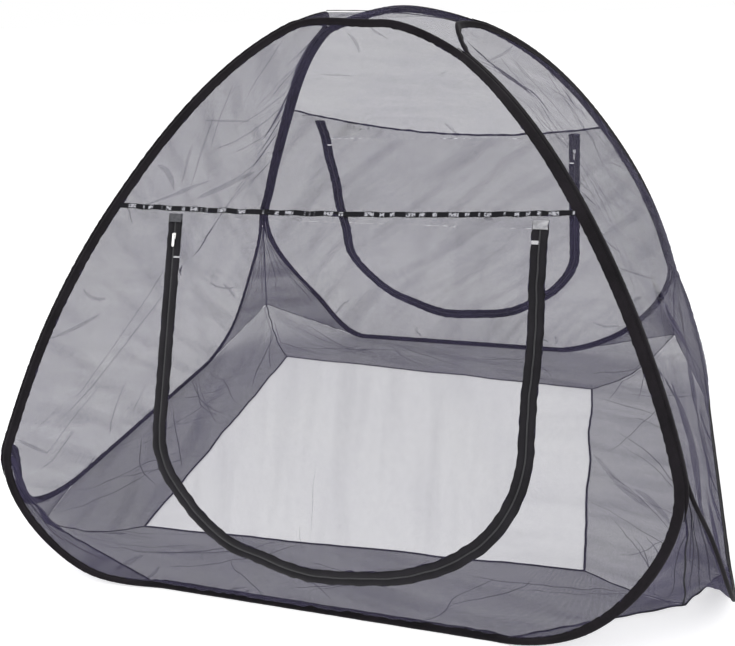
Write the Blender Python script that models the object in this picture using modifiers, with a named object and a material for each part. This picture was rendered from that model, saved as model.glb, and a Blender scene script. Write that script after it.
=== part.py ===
"""A pop-up mosquito-net screen house: four sprung hoops, net panels, two zipped doors.

Metres, +Z up. The origin is on the ground under the middle of the house. The front door faces -Y.
The two doors are the same, half a turn apart about Z, apart from the hang of their bands.
"""

import math

import bmesh
import bpy
import numpy as np
from mathutils import Matrix, Vector

# --- driving dimensions -------------------------------------------------------------------------

NET_THICKNESS = 0.002
GAP = 0.0005
EDGE_GAP = 0.0048
MILLI = 0.001

# Each corner of the house: signs of x and y, height of the seam's top, how far up or down its rib
# the seam ends, height of the floor's corner, and that corner's reach along y.
CORNERS = {
    "front_left": (-1, -1, 1.573, 0.112, 0.085, 0.860),
    "front_right": (1, -1, 1.461, 0.021, 0.040, 0.770),
    "back_left": (-1, 1, 1.536, -0.133, 0.165, 0.950),
    "back_right": (1, 1, 1.541, 0.053, 0.150, 0.930),
}
FLOOR_CORNER_X = 1.0

# One rib: two sewn hoop sides, leaning in as they rise.
SEAM_TOP = (0.292, 0.149)
RIB_HIGH = (0.710, 0.657, 1.083)
RIB_MIDDLE = (0.865, 0.802, 0.796)
RIB_LOW = (0.955, 0.879, 0.542)
RIB_SLOPE = (0.40, 0.60)

CROWN = {"front": (0.120, 1.581), "back": (0.120, 1.613)}
APEX = {"left": (0.218, 1.605), "right": (0.218, 1.562)}

DOOR_CORNER = (0.763, 1.014, 0.117)
DOOR_FOOT = (0.500, 0.986)
SIDE_CORNER = (1.043, 0.889, 0.336)
SIDE_HEEL = (1.124, 0.797, 0.090)
SIDE_FOOT = (1.144, 0.514)
FOOT_Z = -0.0027

WIRE_RADIUS = 0.0015
SLEEVE_INSET = 0.010
SLEEVE_LIP = 0.021
SLEEVE_BACK = 0.007
SLEEVE_HALF = 0.006
LIP_HALF = 0.0022
SLOT_HALF = 0.0008

OPENING_CORNERS = {
    "front_left": (-0.730, -0.715),
    "front_right": (0.720, -0.635),
    "back_right": (0.665, 0.605),
    "back_left": (-0.795, 0.690),
}

BAND_Z = 1.092
BAND_WIDTH = 0.010
BAND_SAG = {"front": 0.012, "back": 0.074}
BAND_TILT = {"front": -0.007, "back": 0.045}
BAND_HALF_SPAN = 0.650

DOOR_HALF = 0.527
DOOR_MIDDLE = {"front": 0.045, "back": 0.024}
HINGE_Z = 1.0755
HINGE_ROOM = 0.003
DOOR_STRAIGHT_Z = 0.533
DOOR_BOTTOM_Z = 0.152
TAPE_WIDTH = 0.013
TAPE_HALF_THICK = 0.0006
CHAIN_GAP = 0.0006
COIL_WIDTH = 0.0022
COIL_HALF_THICK = 0.0012
PARK_LENGTH = 0.120
TAB_LENGTH = 0.030
STOP_LENGTH = 0.036

SLIDER_DROP = 0.060
SLIDER_WIDTH = 0.011
SLIDER_LENGTH = 0.017
SLIDER_PLATE = 0.0014
PULL_LENGTH = 0.034
PULL_WIDTH = 0.0070
PULL_THICK = 0.0012
PULL_HOLE = 0.0022

COLOURS = {
    "net": ((0.060, 0.058, 0.070), 0.90, 0.0),
    "sleeve": ((0.012, 0.011, 0.013), 0.85, 0.0),
    "steel": ((0.45, 0.45, 0.47), 0.35, 1.0),
    "ribbon": ((0.05, 0.05, 0.055), 0.80, 0.0),
    "tape": ((0.010, 0.010, 0.012), 0.85, 0.0),
    "coil": ((0.015, 0.015, 0.018), 0.40, 0.0),
    "tab": ((0.35, 0.35, 0.37), 0.80, 0.0),
    "slider": ((0.75, 0.75, 0.78), 0.30, 1.0),
}


# --- scene, materials and mesh helpers ----------------------------------------------------------


def clear_scene():
    for obj in list(bpy.data.objects):
        bpy.data.objects.remove(obj, do_unlink=True)


def new_collection(name):
    collection = bpy.data.collections.new(name)
    bpy.context.scene.collection.children.link(collection)
    return collection


def material(name):
    """The named Principled material, made once."""
    found = bpy.data.materials.get(name)
    if found:
        return found
    colour, roughness, metallic = COLOURS[name]
    made = bpy.data.materials.new(name)
    made.use_nodes = True
    shader = made.node_tree.nodes["Principled BSDF"]
    shader.inputs["Base Color"].default_value = (*colour, 1.0)
    shader.inputs["Roughness"].default_value = roughness
    shader.inputs["Metallic"].default_value = metallic
    made.diffuse_color = (*colour, 1.0)
    return made


def object_from(name, points, faces, finish, collection):
    """A mesh object with outward normals, from points and faces."""
    mesh = bpy.data.meshes.new(name)
    mesh.from_pydata([tuple(map(float, p)) for p in points], [], faces)
    shell = bmesh.new()
    shell.from_mesh(mesh)
    bmesh.ops.recalc_face_normals(shell, faces=shell.faces)
    shell.to_mesh(mesh)
    shell.free()
    mesh.shade_smooth()
    mesh.set_sharp_from_angle(angle=math.radians(40))
    obj = bpy.data.objects.new(name, mesh)
    collection.objects.link(obj)
    if finish:
        obj.data.materials.append(material(finish))
    return obj


def loft(name, rings, finish, collection, closed=False):
    """Joins rings of the same number of points into one body, capped unless it closes on itself."""
    count = len(rings[0])
    points = [p for ring in rings for p in ring]
    spans = len(rings) if closed else len(rings) - 1
    faces = []
    for i in range(spans):
        a = i * count
        b = (i + 1) % len(rings) * count
        for j in range(count):
            k = (j + 1) % count
            faces.append((a + j, a + k, b + k, b + j))
    if not closed:
        faces.append(tuple(range(count)))
        faces.append(tuple(range(len(points) - count, len(points))))
    return object_from(name, points, faces, finish, collection)


def sheet(name, grid, finish, collection):
    """A thin closed solid through a grid of points, thickened evenly to both sides."""
    rows = len(grid)
    columns = len(grid[0])
    points = [p for row in grid for p in row]
    faces = []
    for i in range(rows - 1):
        for j in range(columns - 1):
            a = i * columns + j
            b = a + columns
            faces.append((a, a + 1, b + 1, b))
    obj = object_from(name, points, faces, finish, collection)
    weld = bmesh.new()
    weld.from_mesh(obj.data)
    bmesh.ops.remove_doubles(weld, verts=weld.verts, dist=0.0001)
    weld.to_mesh(obj.data)
    weld.free()
    solid = obj.modifiers.new("Thickness", "SOLIDIFY")
    solid.thickness = NET_THICKNESS
    solid.offset = 0
    solid.use_even_offset = True
    return obj


def boolean(obj, operation, other):
    """Adds a Boolean with a cutter, which is then hidden from render."""
    step = obj.modifiers.new(operation.title(), "BOOLEAN")
    step.operation = operation
    step.object = other
    step.solver = "EXACT"
    other.hide_render = True
    other.display_type = "WIRE"


# --- curves -------------------------------------------------------------------------------------


def unit(vector):
    return vector / np.linalg.norm(vector)


def smooth_run(points, start, end, spans):
    """A smooth curve through the points, leaving along start and arriving along end.

    spans gives how many equal steps each stretch between two points is cut into.
    """
    points = [np.array(p, float) for p in points]
    lengths = [np.linalg.norm(b - a) for a, b in zip(points, points[1:])]
    slopes = [unit(np.array(start, float))]
    for i in range(1, len(points) - 1):
        before = (points[i] - points[i - 1]) / lengths[i - 1]
        after = (points[i + 1] - points[i]) / lengths[i]
        share = lengths[i] / (lengths[i - 1] + lengths[i])
        slopes.append(before * share + after * (1 - share))
    slopes.append(unit(np.array(end, float)))
    curve = []
    for i, steps in enumerate(spans):
        for step in range(steps):
            u = step / steps
            curve.append(
                (2 * u**3 - 3 * u**2 + 1) * points[i]
                + (u**3 - 2 * u**2 + u) * lengths[i] * slopes[i]
                + (3 * u**2 - 2 * u**3) * points[i + 1]
                + (u**3 - u**2) * lengths[i] * slopes[i + 1]
            )
    curve.append(points[-1])
    return curve


def corner_point(corner, point):
    """A point given for the corner at +x +y, moved to the named corner."""
    sx, sy = CORNERS[corner][:2]
    return np.array((sx * point[0], sy * point[1], point[2]))


def seam_top(corner):
    return corner_point(corner, (*SEAM_TOP, CORNERS[corner][2]))


def seam_end(corner):
    """Where the two hoops of a rib part, a little up or down the rib's own line."""
    drop = CORNERS[corner][3]
    x = RIB_LOW[0] + drop * RIB_SLOPE[0]
    y = RIB_LOW[1] + drop * RIB_SLOPE[1]
    return corner_point(corner, (x, y, RIB_LOW[2] - drop))


RIB_SPANS = (5, 4, 3)
ARC_STEPS = 5
CORNER_SPANS = (4, 4)
FOOT_STEPS = 2


def rib(corner):
    """One rib's line from the seam's top down to where the hoops part."""
    high = corner_point(corner, RIB_HIGH)
    middle = corner_point(corner, RIB_MIDDLE)
    top = seam_top(corner)
    low = seam_end(corner)
    sx, sy = CORNERS[corner][:2]
    start = np.array((sx * 0.62, sy * 0.70, -0.34))
    end = np.array((sx * 0.24, sy * 0.40, -0.88))
    return smooth_run([top, high, middle, low], start, end, RIB_SPANS)


def door_half(end_name, corner):
    """Half of a door hoop, from the crown's middle down to the middle of its foot."""
    sx, sy = CORNERS[corner][:2]
    reach, height = CROWN[end_name]
    crown = np.array((0.0, sy * reach, height))
    side = rib(corner)
    arc = smooth_run([crown, side[0]], (sx, 0, 0), side[1] - side[0], (ARC_STEPS,))
    lift = -0.65 * CORNERS[corner][3]
    bend = corner_point(corner, (DOOR_CORNER[0], DOOR_CORNER[1], DOOR_CORNER[2] + lift))
    foot = corner_point(corner, (*DOOR_FOOT, FOOT_Z))
    turn = smooth_run([side[-1], bend, foot], side[-1] - side[-2], (-sx, 0, 0), CORNER_SPANS)
    middle = np.array((0.0, foot[1], FOOT_Z))
    run = smooth_run([foot, middle], (-sx, 0, 0), (-sx, 0, 0), (FOOT_STEPS,))
    return arc[:-1] + side[:-1] + turn[:-1] + run


def side_half(end_name, corner):
    """Half of a side hoop, from its apex down to the middle of its foot."""
    sx, sy = CORNERS[corner][:2]
    reach, height = APEX[end_name]
    apex = np.array((sx * reach, 0.0, height))
    side = rib(corner)
    arc = smooth_run([apex, side[0]], (0, sy, 0), side[1] - side[0], (ARC_STEPS,))
    bend = corner_point(corner, SIDE_CORNER)
    heel = corner_point(corner, SIDE_HEEL)
    foot = corner_point(corner, (*SIDE_FOOT, FOOT_Z))
    spans = (3, 3, 2)
    turn = smooth_run([side[-1], bend, heel, foot], side[-1] - side[-2], (0, -sy, 0), spans)
    middle = np.array((foot[0], 0.0, FOOT_Z))
    run = smooth_run([foot, middle], (0, -sy, 0), (0, -sy, 0), (FOOT_STEPS,))
    return arc[:-1] + side[:-1] + turn[:-1] + run


class Hoop:
    """A closed hoop: its rim, and at each point the way into its panel and the way across it."""

    def __init__(self, first, second):
        self.half = len(first) - 1
        self.rim = np.array(first[:-1] + second[:0:-1])
        count = len(self.rim)
        self.rim[:, 2] = np.maximum(self.rim[:, 2], FOOT_Z)
        centre = self.rim.mean(0)
        mates = self.rim[[(-i) % count for i in range(count)]]
        ahead = np.roll(self.rim, -1, 0) - np.roll(self.rim, 1, 0)
        self.along = np.array([unit(v) for v in ahead])
        inward = []
        for point, mate, along in zip(self.rim, mates, self.along):
            lean = 3.0 * (mate - point) + (centre - point)
            inward.append(unit(lean - along * np.dot(lean, along)))
        self.inward = np.array(inward)
        self.across = np.cross(self.along, self.inward)

    def at(self, inset):
        """The rim moved into the panel by inset."""
        return self.rim + self.inward * inset

    def half_edge(self, inset, second):
        """One half's edge, from the top down to the middle of the foot."""
        edge = self.at(inset)
        if second:
            return np.vstack([edge[:1], edge[: self.half - 1 : -1]])
        return edge[: self.half + 1]


def section_ring(hoop, index, outline):
    point = hoop.rim[index] + hoop.inward[index] * SLEEVE_INSET
    return [point + hoop.inward[index] * n + hoop.across[index] * b for n, b in outline]


SLEEVE_OUTLINE = (
    (SLEEVE_LIP, LIP_HALF),
    (0.0015, SLEEVE_HALF),
    (-SLEEVE_BACK, 0.0),
    (0.0015, -SLEEVE_HALF),
    (SLEEVE_LIP, -LIP_HALF),
    (SLEEVE_LIP, -SLOT_HALF),
    (0.0026, -0.0038),
    (-0.0048, 0.0),
    (0.0026, 0.0038),
    (SLEEVE_LIP, SLOT_HALF),
)
WIRE_SIDES = 5


def make_sleeve(name, hoop, collection):
    rings = [section_ring(hoop, i, SLEEVE_OUTLINE) for i in range(len(hoop.rim))]
    return loft(name, rings, "sleeve", collection, closed=True)


def wire_outline(radius):
    turns = [math.tau * i / WIRE_SIDES for i in range(WIRE_SIDES)]
    return [(radius * math.cos(t), radius * math.sin(t)) for t in turns]


def make_wire(name, hoop, collection):
    """The sprung wire: one open length whose two ends meet inside the ferrule at the foot."""
    count = len(hoop.rim)
    start = hoop.half + 1
    order = [(start + i) % count for i in range(count)]
    rings = [section_ring(hoop, i, wire_outline(WIRE_RADIUS)) for i in order[:-1]]
    return loft(name, rings, "steel", collection)


def make_ferrule(name, hoop, collection):
    """The short rod that joins the wire's two ends, face to face with both."""
    first = section_ring(hoop, hoop.half, wire_outline(WIRE_RADIUS))
    before = section_ring(hoop, hoop.half - 1, wire_outline(WIRE_RADIUS))
    after = section_ring(hoop, hoop.half + 1, wire_outline(WIRE_RADIUS))
    step = 0.0006
    rings = [shifted(before, first, step), first, shifted(after, first, step)]
    return loft(name, rings, "steel", collection)


def shifted(ring, towards, distance):
    """A ring moved a short way towards the next one."""
    return [p + unit(q - p) * distance for p, q in zip(ring, towards)]


# --- panels -------------------------------------------------------------------------------------


class Panel:
    """The surface stretched in a hoop: level threads between the hoop's two sides."""

    def __init__(self, hoop):
        inset = SLEEVE_INSET + SLEEVE_LIP + EDGE_GAP
        self.hoop = hoop
        self.first = hoop.half_edge(inset, False)
        self.second = hoop.half_edge(inset, True)
        self.top_z = self.first[0][2]
        self.low_z = max(self.first[-1][2], self.second[-1][2])

    def side_at(self, edge, z):
        """The point of one edge at a height, found on its way down from the top."""
        order = np.argsort(edge[:, 2], kind="stable")
        rising = edge[order]
        keep = np.concatenate([[True], np.diff(rising[:, 2]) > 1e-6])
        rising = rising[keep]
        x = np.interp(z, rising[:, 2], rising[:, 0])
        y = np.interp(z, rising[:, 2], rising[:, 1])
        return np.array((x, y, z))

    def at(self, z, share):
        """The point at a height and a share of the way from the first side to the second."""
        a = self.side_at(self.first, z)
        b = self.side_at(self.second, z)
        return a + (b - a) * share

    def at_x(self, x, z):
        """The point of a door panel over a given x and z."""
        a = self.side_at(self.first, z)
        b = self.side_at(self.second, z)
        return a + (b - a) * (x - a[0]) / (b[0] - a[0])


def point_along(path, share):
    """The point a given share of the way along a path."""
    path = np.array(path)
    lengths = np.concatenate([[0], np.cumsum(np.linalg.norm(np.diff(path, axis=0), axis=1))])
    at = share * lengths[-1]
    return np.array([np.interp(at, lengths, path[:, k]) for k in range(3)])


def closing_row(panel, z, upper, columns):
    """Points along the hoop's own edge below, or above, a level z."""
    if upper:
        first = [p for p in panel.first if p[2] > z]
        second = [p for p in panel.second[1:] if p[2] > z]
        path = [panel.at(z, 0.0)] + first[::-1] + second + [panel.at(z, 1.0)]
    else:
        first = [p for p in panel.first if p[2] < z]
        second = [p for p in panel.second[:-1] if p[2] < z]
        path = [panel.at(z, 0.0)] + first + second[::-1] + [panel.at(z, 1.0)]
    return [point_along(path, j / columns) for j in range(columns + 1)]


def band_height(end_name, x):
    """How high the band lies: it sags between the ribs, and one end may be higher."""
    share = x / BAND_HALF_SPAN
    return BAND_Z + BAND_SAG[end_name] * share**2 - BAND_TILT[end_name] * share


def upper_grid(panel, end_name, rows, columns):
    """Rows from the band up to the crown."""
    last = panel.top_z - 0.025
    grid = []
    for i in range(rows + 1):
        row = []
        for j in range(columns + 1):
            share = j / columns
            base = panel.at(BAND_Z, share)
            low = band_height(end_name, base[0]) + GAP
            z = low + (last - low) * i / rows
            row.append(panel.at(z, share))
        grid.append(row)
    grid.append(closing_row(panel, last, True, columns))
    return grid


def lower_grid(panel, end_name, rows, columns):
    """Rows from the band down to the foot."""
    last = panel.low_z + 0.025
    grid = []
    for i in range(rows + 1):
        row = []
        for j in range(columns + 1):
            share = j / columns
            base = panel.at(BAND_Z, share)
            high = band_height(end_name, base[0]) - GAP
            z = high + (last - high) * (i / rows) ** 0.9
            row.append(panel.at(z, share))
        grid.append(row)
    grid.append(closing_row(panel, last, False, columns))
    return grid


def side_grid(panel, rows, columns):
    """A whole side panel, closed along its own edge at the top and the foot."""
    high = panel.top_z - 0.03
    low = panel.low_z + 0.025
    grid = [closing_row(panel, high, True, columns)]
    for i in range(rows + 1):
        z = high + (low - high) * i / rows
        grid.append([panel.at(z, j / columns) for j in range(columns + 1)])
    grid.append(closing_row(panel, low, False, columns))
    return grid


# --- doors --------------------------------------------------------------------------------------


class DoorLine:
    """The zip's line round a door, with the ways along, outwards in the cloth, and off it."""

    def __init__(self, panel, outward, middle):
        self.outward = outward
        sides = (middle - DOOR_HALF, middle + DOOR_HALF)
        low = [panel.at_x(x, DOOR_STRAIGHT_Z) for x in sides]
        high = [panel.at_x(x, HINGE_Z) for x in sides]
        curve = []
        steps = 20
        for i in range(1, steps):
            angle = math.pi * i / steps
            x = middle - DOOR_HALF * math.cos(angle)
            z = DOOR_STRAIGHT_Z - (DOOR_STRAIGHT_Z - DOOR_BOTTOM_Z) * math.sin(angle)
            curve.append(panel.at_x(x, z))
        if outward > 0:
            high.reverse()
            low.reverse()
            curve.reverse()
        park = high[0] + unit(low[0] - high[0]) * PARK_LENGTH
        stop = high[1] + unit(low[1] - high[1]) * STOP_LENGTH
        self.points = np.array([high[0], park, low[0], *curve, low[1], stop, high[1]])
        ahead = np.gradient(self.points, axis=0)
        self.along = np.array([unit(v) for v in ahead])
        self.along[0] = self.along[1] = unit(low[0] - high[0])
        self.along[-1] = self.along[-2] = unit(high[1] - low[1])
        self.off = []
        self.out = []
        for point, along in zip(self.points, self.along):
            above = panel.at_x(point[0], point[2] + 0.02)
            below = panel.at_x(point[0], point[2] - 0.02)
            slope = unit(above - below)
            off = unit(np.array((0.0, slope[2], -slope[1])) * outward)
            off = unit(off - along * np.dot(off, along))
            self.off.append(off)
            self.out.append(np.cross(along, off))
        self.off = np.array(self.off)
        self.out = np.array(self.out)

    def strip(self, name, sides, half_thick, finish, collection, skip=0):
        """A flat strip along the line, between two distances outwards from it."""
        low, high = sides
        outline = ((low, -half_thick), (high, -half_thick), (high, half_thick), (low, half_thick))
        rings = []
        for i in range(skip, len(self.points) - skip):
            base, out, off = self.points[i], self.out[i], self.off[i]
            rings.append([base + out * m + off * w for m, w in outline])
        return loft(name, rings, finish, collection)

    def prism(self, name, reach, top_z, side, cutters):
        """A deep prism whose outline runs beside the line, for cutting net."""
        beside = self.points + self.out * reach
        outline = [(p[0], p[2]) for p in beside[1:-1]]
        outline = [(outline[0][0], top_z), *outline, (outline[-1][0], top_z)]
        rings = [[(x, side * depth, z) for x, z in outline] for depth in (0.40, 1.30)]
        return loft(name, rings, None, cutters)


def block(name, centre, axes, size, finish, collection, bevel=0.0):
    """A box with its sides along three axes, its edges bevelled."""
    sides = [length / MILLI for length in size]
    shape = bmesh.new()
    bmesh.ops.create_cube(shape, size=1.0, matrix=Matrix.Diagonal((*sides, 1.0)))
    if bevel:
        edges = list(shape.edges)
        bmesh.ops.bevel(shape, geom=edges, offset=bevel / MILLI, segments=1, affect="EDGES")
    bmesh.ops.recalc_face_normals(shape, faces=shape.faces)
    matrix = Matrix([list(axis) for axis in axes]).transposed().to_4x4()
    if matrix.determinant() < 0:
        matrix = Matrix([list(-axes[0]), list(axes[1]), list(axes[2])]).transposed().to_4x4()
    matrix.translation = Vector(centre)
    shape.transform(matrix @ Matrix.Scale(MILLI, 4))
    mesh = bpy.data.meshes.new(name)
    shape.to_mesh(mesh)
    shape.free()
    obj = bpy.data.objects.new(name, mesh)
    collection.objects.link(obj)
    if finish:
        mesh.materials.append(material(finish))
    return obj


def union(target, parts):
    for part in parts:
        boolean(target, "UNION", part)


def axis_parent(name, place, pieces, collection):
    """An empty on a joint's axis, with the pieces that move about it as its children."""
    empty = bpy.data.objects.new(name, None)
    empty.empty_display_size = 0.02
    empty.location = Vector(place)
    collection.objects.link(empty)
    for piece in pieces:
        piece.parent = empty
        piece.matrix_parent_inverse = Matrix.Translation(-Vector(place))


def slider_frame(line):
    """The slider's middle on the zip, and its axes: out, off and along."""
    along = line.along[0]
    origin = line.points[0] + along * SLIDER_DROP
    return origin, line.out[0], line.off[0], along


EAR_CENTRE = 0.0030
EAR_WIDTH = 0.0010
EAR_HEIGHT = 0.0034
PIVOT_RISE = 0.0021


def make_slider(prefix, line, collection, cutters):
    """The two plates of the slider, one on each face of the zip, each with two ears for a pull."""
    origin, out, off, along = slider_frame(line)
    pivots = {}
    made = []
    for face, sign in (("outer", 1), ("inner", -1)):
        middle = COIL_HALF_THICK + GAP + SLIDER_PLATE / 2
        centre = origin + off * sign * middle
        size = (SLIDER_WIDTH, SLIDER_PLATE, SLIDER_LENGTH)
        name = f"{prefix}_slider_{face}_plate"
        plate = block(name, centre, (out, off, along), size, "slider", collection, 0.0004)
        rise = middle + SLIDER_PLATE / 2 + EAR_HEIGHT / 2 - 0.0002
        ears = []
        for ear_side in (-1, 1):
            spot = origin + off * sign * rise + out * ear_side * EAR_CENTRE - along * 0.003
            ear_size = (EAR_WIDTH, EAR_HEIGHT, 0.005)
            ear_name = f"{name}_ear_{ear_side}"
            ears.append(block(ear_name, spot, (out, off, along), ear_size, None, cutters))
        union(plate, ears)
        made.append(plate)
        top = middle + SLIDER_PLATE / 2
        pivots[face] = origin + off * sign * (top + PIVOT_RISE) - along * 0.003
    axis_parent(f"{prefix}_slider_run", origin, made, collection)
    return pivots


def make_pull(name, pivot, out, off, down, collection):
    """A flat pull with a round hole near its end, hanging from a barrel between the ears."""
    half = PULL_WIDTH / 2
    neck = EAR_CENTRE - EAR_WIDTH / 2 - 0.0004
    shoulder = 0.0050
    arc = [math.pi * i / 8 for i in range(9)]
    end = PULL_LENGTH - half
    outline = [(-neck, -0.0010), (-neck, shoulder - 0.0010), (-half, shoulder + 0.001)]
    outline += [(-half * math.cos(a), end + half * math.sin(a)) for a in arc]
    outline += [(half, shoulder + 0.001), (neck, shoulder - 0.0010), (neck, -0.0010)]
    turns = [math.tau * i / 12 for i in range(12)]
    hole = [(PULL_HOLE * math.cos(t), end - 0.0005 + PULL_HOLE * math.sin(t)) for t in turns]
    curve = bpy.data.curves.new(name + "_outline", "CURVE")
    curve.dimensions = "2D"
    curve.fill_mode = "BOTH"
    curve.extrude = PULL_THICK / 2
    for ring in (outline, hole):
        spline = curve.splines.new("POLY")
        spline.points.add(len(ring) - 1)
        for point, (x, y) in zip(spline.points, ring):
            point.co = (x, y, 0.0, 1.0)
        spline.use_cyclic_u = True
    flat = bpy.data.objects.new(name + "_outline", curve)
    collection.objects.link(flat)
    bpy.context.view_layer.update()
    graph = bpy.context.evaluated_depsgraph_get()
    mesh = bpy.data.meshes.new_from_object(flat.evaluated_get(graph))
    mesh.name = name
    bpy.data.objects.remove(flat, do_unlink=True)
    shape = bmesh.new()
    shape.from_mesh(mesh)
    bmesh.ops.remove_doubles(shape, verts=shape.verts, dist=0.00002)
    shape.to_mesh(mesh)
    shape.free()
    obj = bpy.data.objects.new(name, mesh)
    collection.objects.link(obj)
    across = np.cross(down, off)
    placed = Matrix([list(across), list(down), list(off)]).transposed().to_4x4()
    if placed.determinant() < 0:
        placed = Matrix([list(-across), list(down), list(off)]).transposed().to_4x4()
    placed.translation = Vector(pivot)
    obj.matrix_world = placed
    mesh.materials.clear()
    mesh.materials.append(material("slider"))
    return obj


def make_door(end_name, panel, collection, cutters):
    """Everything of one door end: nets, band, zip, tabs, slider and pulls."""
    side = -1 if end_name == "front" else 1
    line = DoorLine(panel, side, DOOR_MIDDLE[end_name])
    reach = CHAIN_GAP / 2 + COIL_WIDTH + GAP + TAPE_WIDTH

    upper = upper_grid(panel, end_name, 6, 10)
    sheet(f"{end_name}_upper_net", upper, "net", collection)
    lower = sheet(f"{end_name}_lower_net", lower_grid(panel, end_name, 12, 14), "net", collection)
    hole_top = HINGE_Z + HINGE_ROOM
    hole = line.prism(f"{end_name}_door_hole", reach + GAP, hole_top, side, cutters)
    boolean(lower, "DIFFERENCE", hole)

    flap_grid = lower_grid(panel, end_name, 12, 14)
    flap = sheet(f"{end_name}_door_net", flap_grid, "net", collection)
    flap_top = HINGE_Z - 0.001
    kept = line.prism(f"{end_name}_door_keep", -reach - GAP, flap_top, side, cutters)
    boolean(flap, "INTERSECT", kept)

    make_band(end_name, panel, side, collection)
    moving = [flap, *make_zip(end_name, line, collection)]
    hinge = (line.points[0] + line.points[-1]) / 2
    axis_parent(f"{end_name}_door_hinge", hinge, moving, collection)
    make_tabs(end_name, line, collection)
    pivots = make_slider(end_name, line, collection, cutters)
    _, out, off, along = slider_frame(line)
    make_pull(f"{end_name}_outer_pull", pivots["outer"], out, off, along, collection)
    hang = np.array((0.0, 0.0, -1.0))
    level = unit(np.cross(out, hang))
    make_pull(f"{end_name}_inner_pull", pivots["inner"], out, level, hang, collection)


def make_band(end_name, panel, side, collection):
    """The narrow ribbon from rib to rib over the join of the two nets."""
    steps = 16
    lift = NET_THICKNESS / 2 + 0.0016
    rings = []
    for j in range(steps + 1):
        share = 0.004 + 0.992 * j / steps
        base = panel.at(BAND_Z, share)
        z = band_height(end_name, base[0])
        high = panel.at(z + BAND_WIDTH / 2, share)
        low = panel.at(z - BAND_WIDTH / 2, share)
        up = unit(high - low)
        off = np.array((0.0, up[2], -up[1])) * side
        ring = [low + off * lift, high + off * lift]
        ring += [high + off * (lift + 0.0010), low + off * (lift + 0.0010)]
        rings.append(ring)
    return loft(f"{end_name}_band_ribbon", rings, "ribbon", collection)


def make_zip(end_name, line, collection):
    """Two tapes and two coils. The door's own pair, returned, begins below the parked slider."""
    near = CHAIN_GAP / 2
    coil = near + COIL_WIDTH
    tape = coil + GAP
    wide = tape + TAPE_WIDTH
    thin = TAPE_HALF_THICK
    thick = COIL_HALF_THICK
    line.strip(f"{end_name}_outer_zip_tape", (tape, wide), thin, "tape", collection)
    line.strip(f"{end_name}_outer_zip_coil", (near, coil), thick, "coil", collection)
    return (
        line.strip(f"{end_name}_inner_zip_tape", (-wide, -tape), thin, "tape", collection, 1),
        line.strip(f"{end_name}_inner_zip_coil", (-coil, -near), thick, "coil", collection, 1),
    )


def make_tabs(end_name, line, collection):
    """The folded cloth tab that finishes each top end of the zip, under the band."""
    half = CHAIN_GAP / 2 + COIL_WIDTH + GAP + TAPE_WIDTH
    lift = COIL_HALF_THICK + 0.0012
    for which, index, way in (("slider_end", 0, 1), ("stop_end", -1, -1)):
        along = line.along[index] * way
        middle = line.points[index] + along * (TAB_LENGTH / 2 + 0.001)
        centre = middle + line.off[index] * lift + line.out[index] * 0.0006
        size = (2 * half - 0.002, 0.0010, TAB_LENGTH)
        axes = (line.out[index], line.off[index], along)
        block(f"{end_name}_{which}_tab", centre, axes, size, "tab", collection, 0.0002)


# --- roof, corners and floor --------------------------------------------------------------------

NET_STANDOFF = 0.0034
SKIRT_GAP = 0.003
SKIRT_ROWS = 4
FOOT_CLEAR = 0.0075
BINDING_WIDTH = 0.010
ROOF_TAPE_HALF = 0.008
ROOF_TAPE_LIFT = 0.0030


def make_roof(door_hoops, side_hoops, collection):
    """The small net between the four hoops' tops, rising to a seam along its middle."""
    loop = []
    for side_name, hoop_name, first in (
        ("right", "front", True),
        ("right", "back", True),
        ("left", "back", False),
        ("left", "front", False),
    ):
        door = door_hoops[hoop_name].at(-NET_STANDOFF + SLEEVE_INSET - SLEEVE_BACK)
        count = len(door)
        front = hoop_name == "front"
        sides = side_hoops[side_name]
        edge = sides.at(-NET_STANDOFF + SLEEVE_INSET - SLEEVE_BACK)
        total = len(edge)
        on_door = [door[i if first else -i % count] for i in range(ARC_STEPS - 1)]
        on_side = [edge[i if front else -i % total] for i in range(ARC_STEPS - 1)]
        tip = (on_door[-1] + on_side[-1]) / 2
        path = on_door + [tip] + on_side[::-1]
        if hoop_name == "back":
            path = path[::-1] if first else path
        elif not first:
            path = path[::-1]
        loop += path[:-1]
    loop = np.array(loop)
    centre = loop.mean(0)
    centre[2] = loop[:, 2].max() - 0.004
    rings = [loop, centre + (loop - centre) * 0.5]
    rings[1][:, 2] = centre[2] + (loop[:, 2] - centre[2]) * 0.35
    points = [*rings[0], *rings[1], centre]
    count = len(loop)
    faces = []
    for i in range(count):
        k = (i + 1) % count
        faces.append((i, k, count + k, count + i))
        faces.append((count + i, count + k, 2 * count))
    roof = object_from("roof_net", points, faces, "net", collection)
    solid = roof.modifiers.new("Thickness", "SOLIDIFY")
    solid.thickness = NET_THICKNESS
    solid.offset = 0
    return loop, rings[1], centre


def make_roof_tape(loop, ring, centre, collection):
    """The tape over the roof's middle seam, from near one side hoop's apex to the other's."""
    stops = []
    for side in (-1, 1):
        there = [i for i, point in enumerate(loop) if side * point[0] > APEX["left"][0] / 2]
        stops.append(min(there, key=lambda i: abs(loop[i][1])))
    middle = [i for i, point in enumerate(loop) if abs(point[0]) < 0.02]
    slope = ring[middle[0]] - ring[middle[-1]]
    slope = unit(np.array((0.0, slope[1], slope[2]))) * np.sign(slope[1])
    rings = []
    for point in (ring[stops[0]], centre, ring[stops[1]]):
        base = point + np.array((0, 0, ROOF_TAPE_LIFT))
        wide = slope * ROOF_TAPE_HALF
        thick = np.array((0, 0, 0.001))
        rings.append([base - wide, base + wide, base + wide + thick, base - wide + thick])
    return loft("roof_seam_tape", rings, "sleeve", collection)


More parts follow.
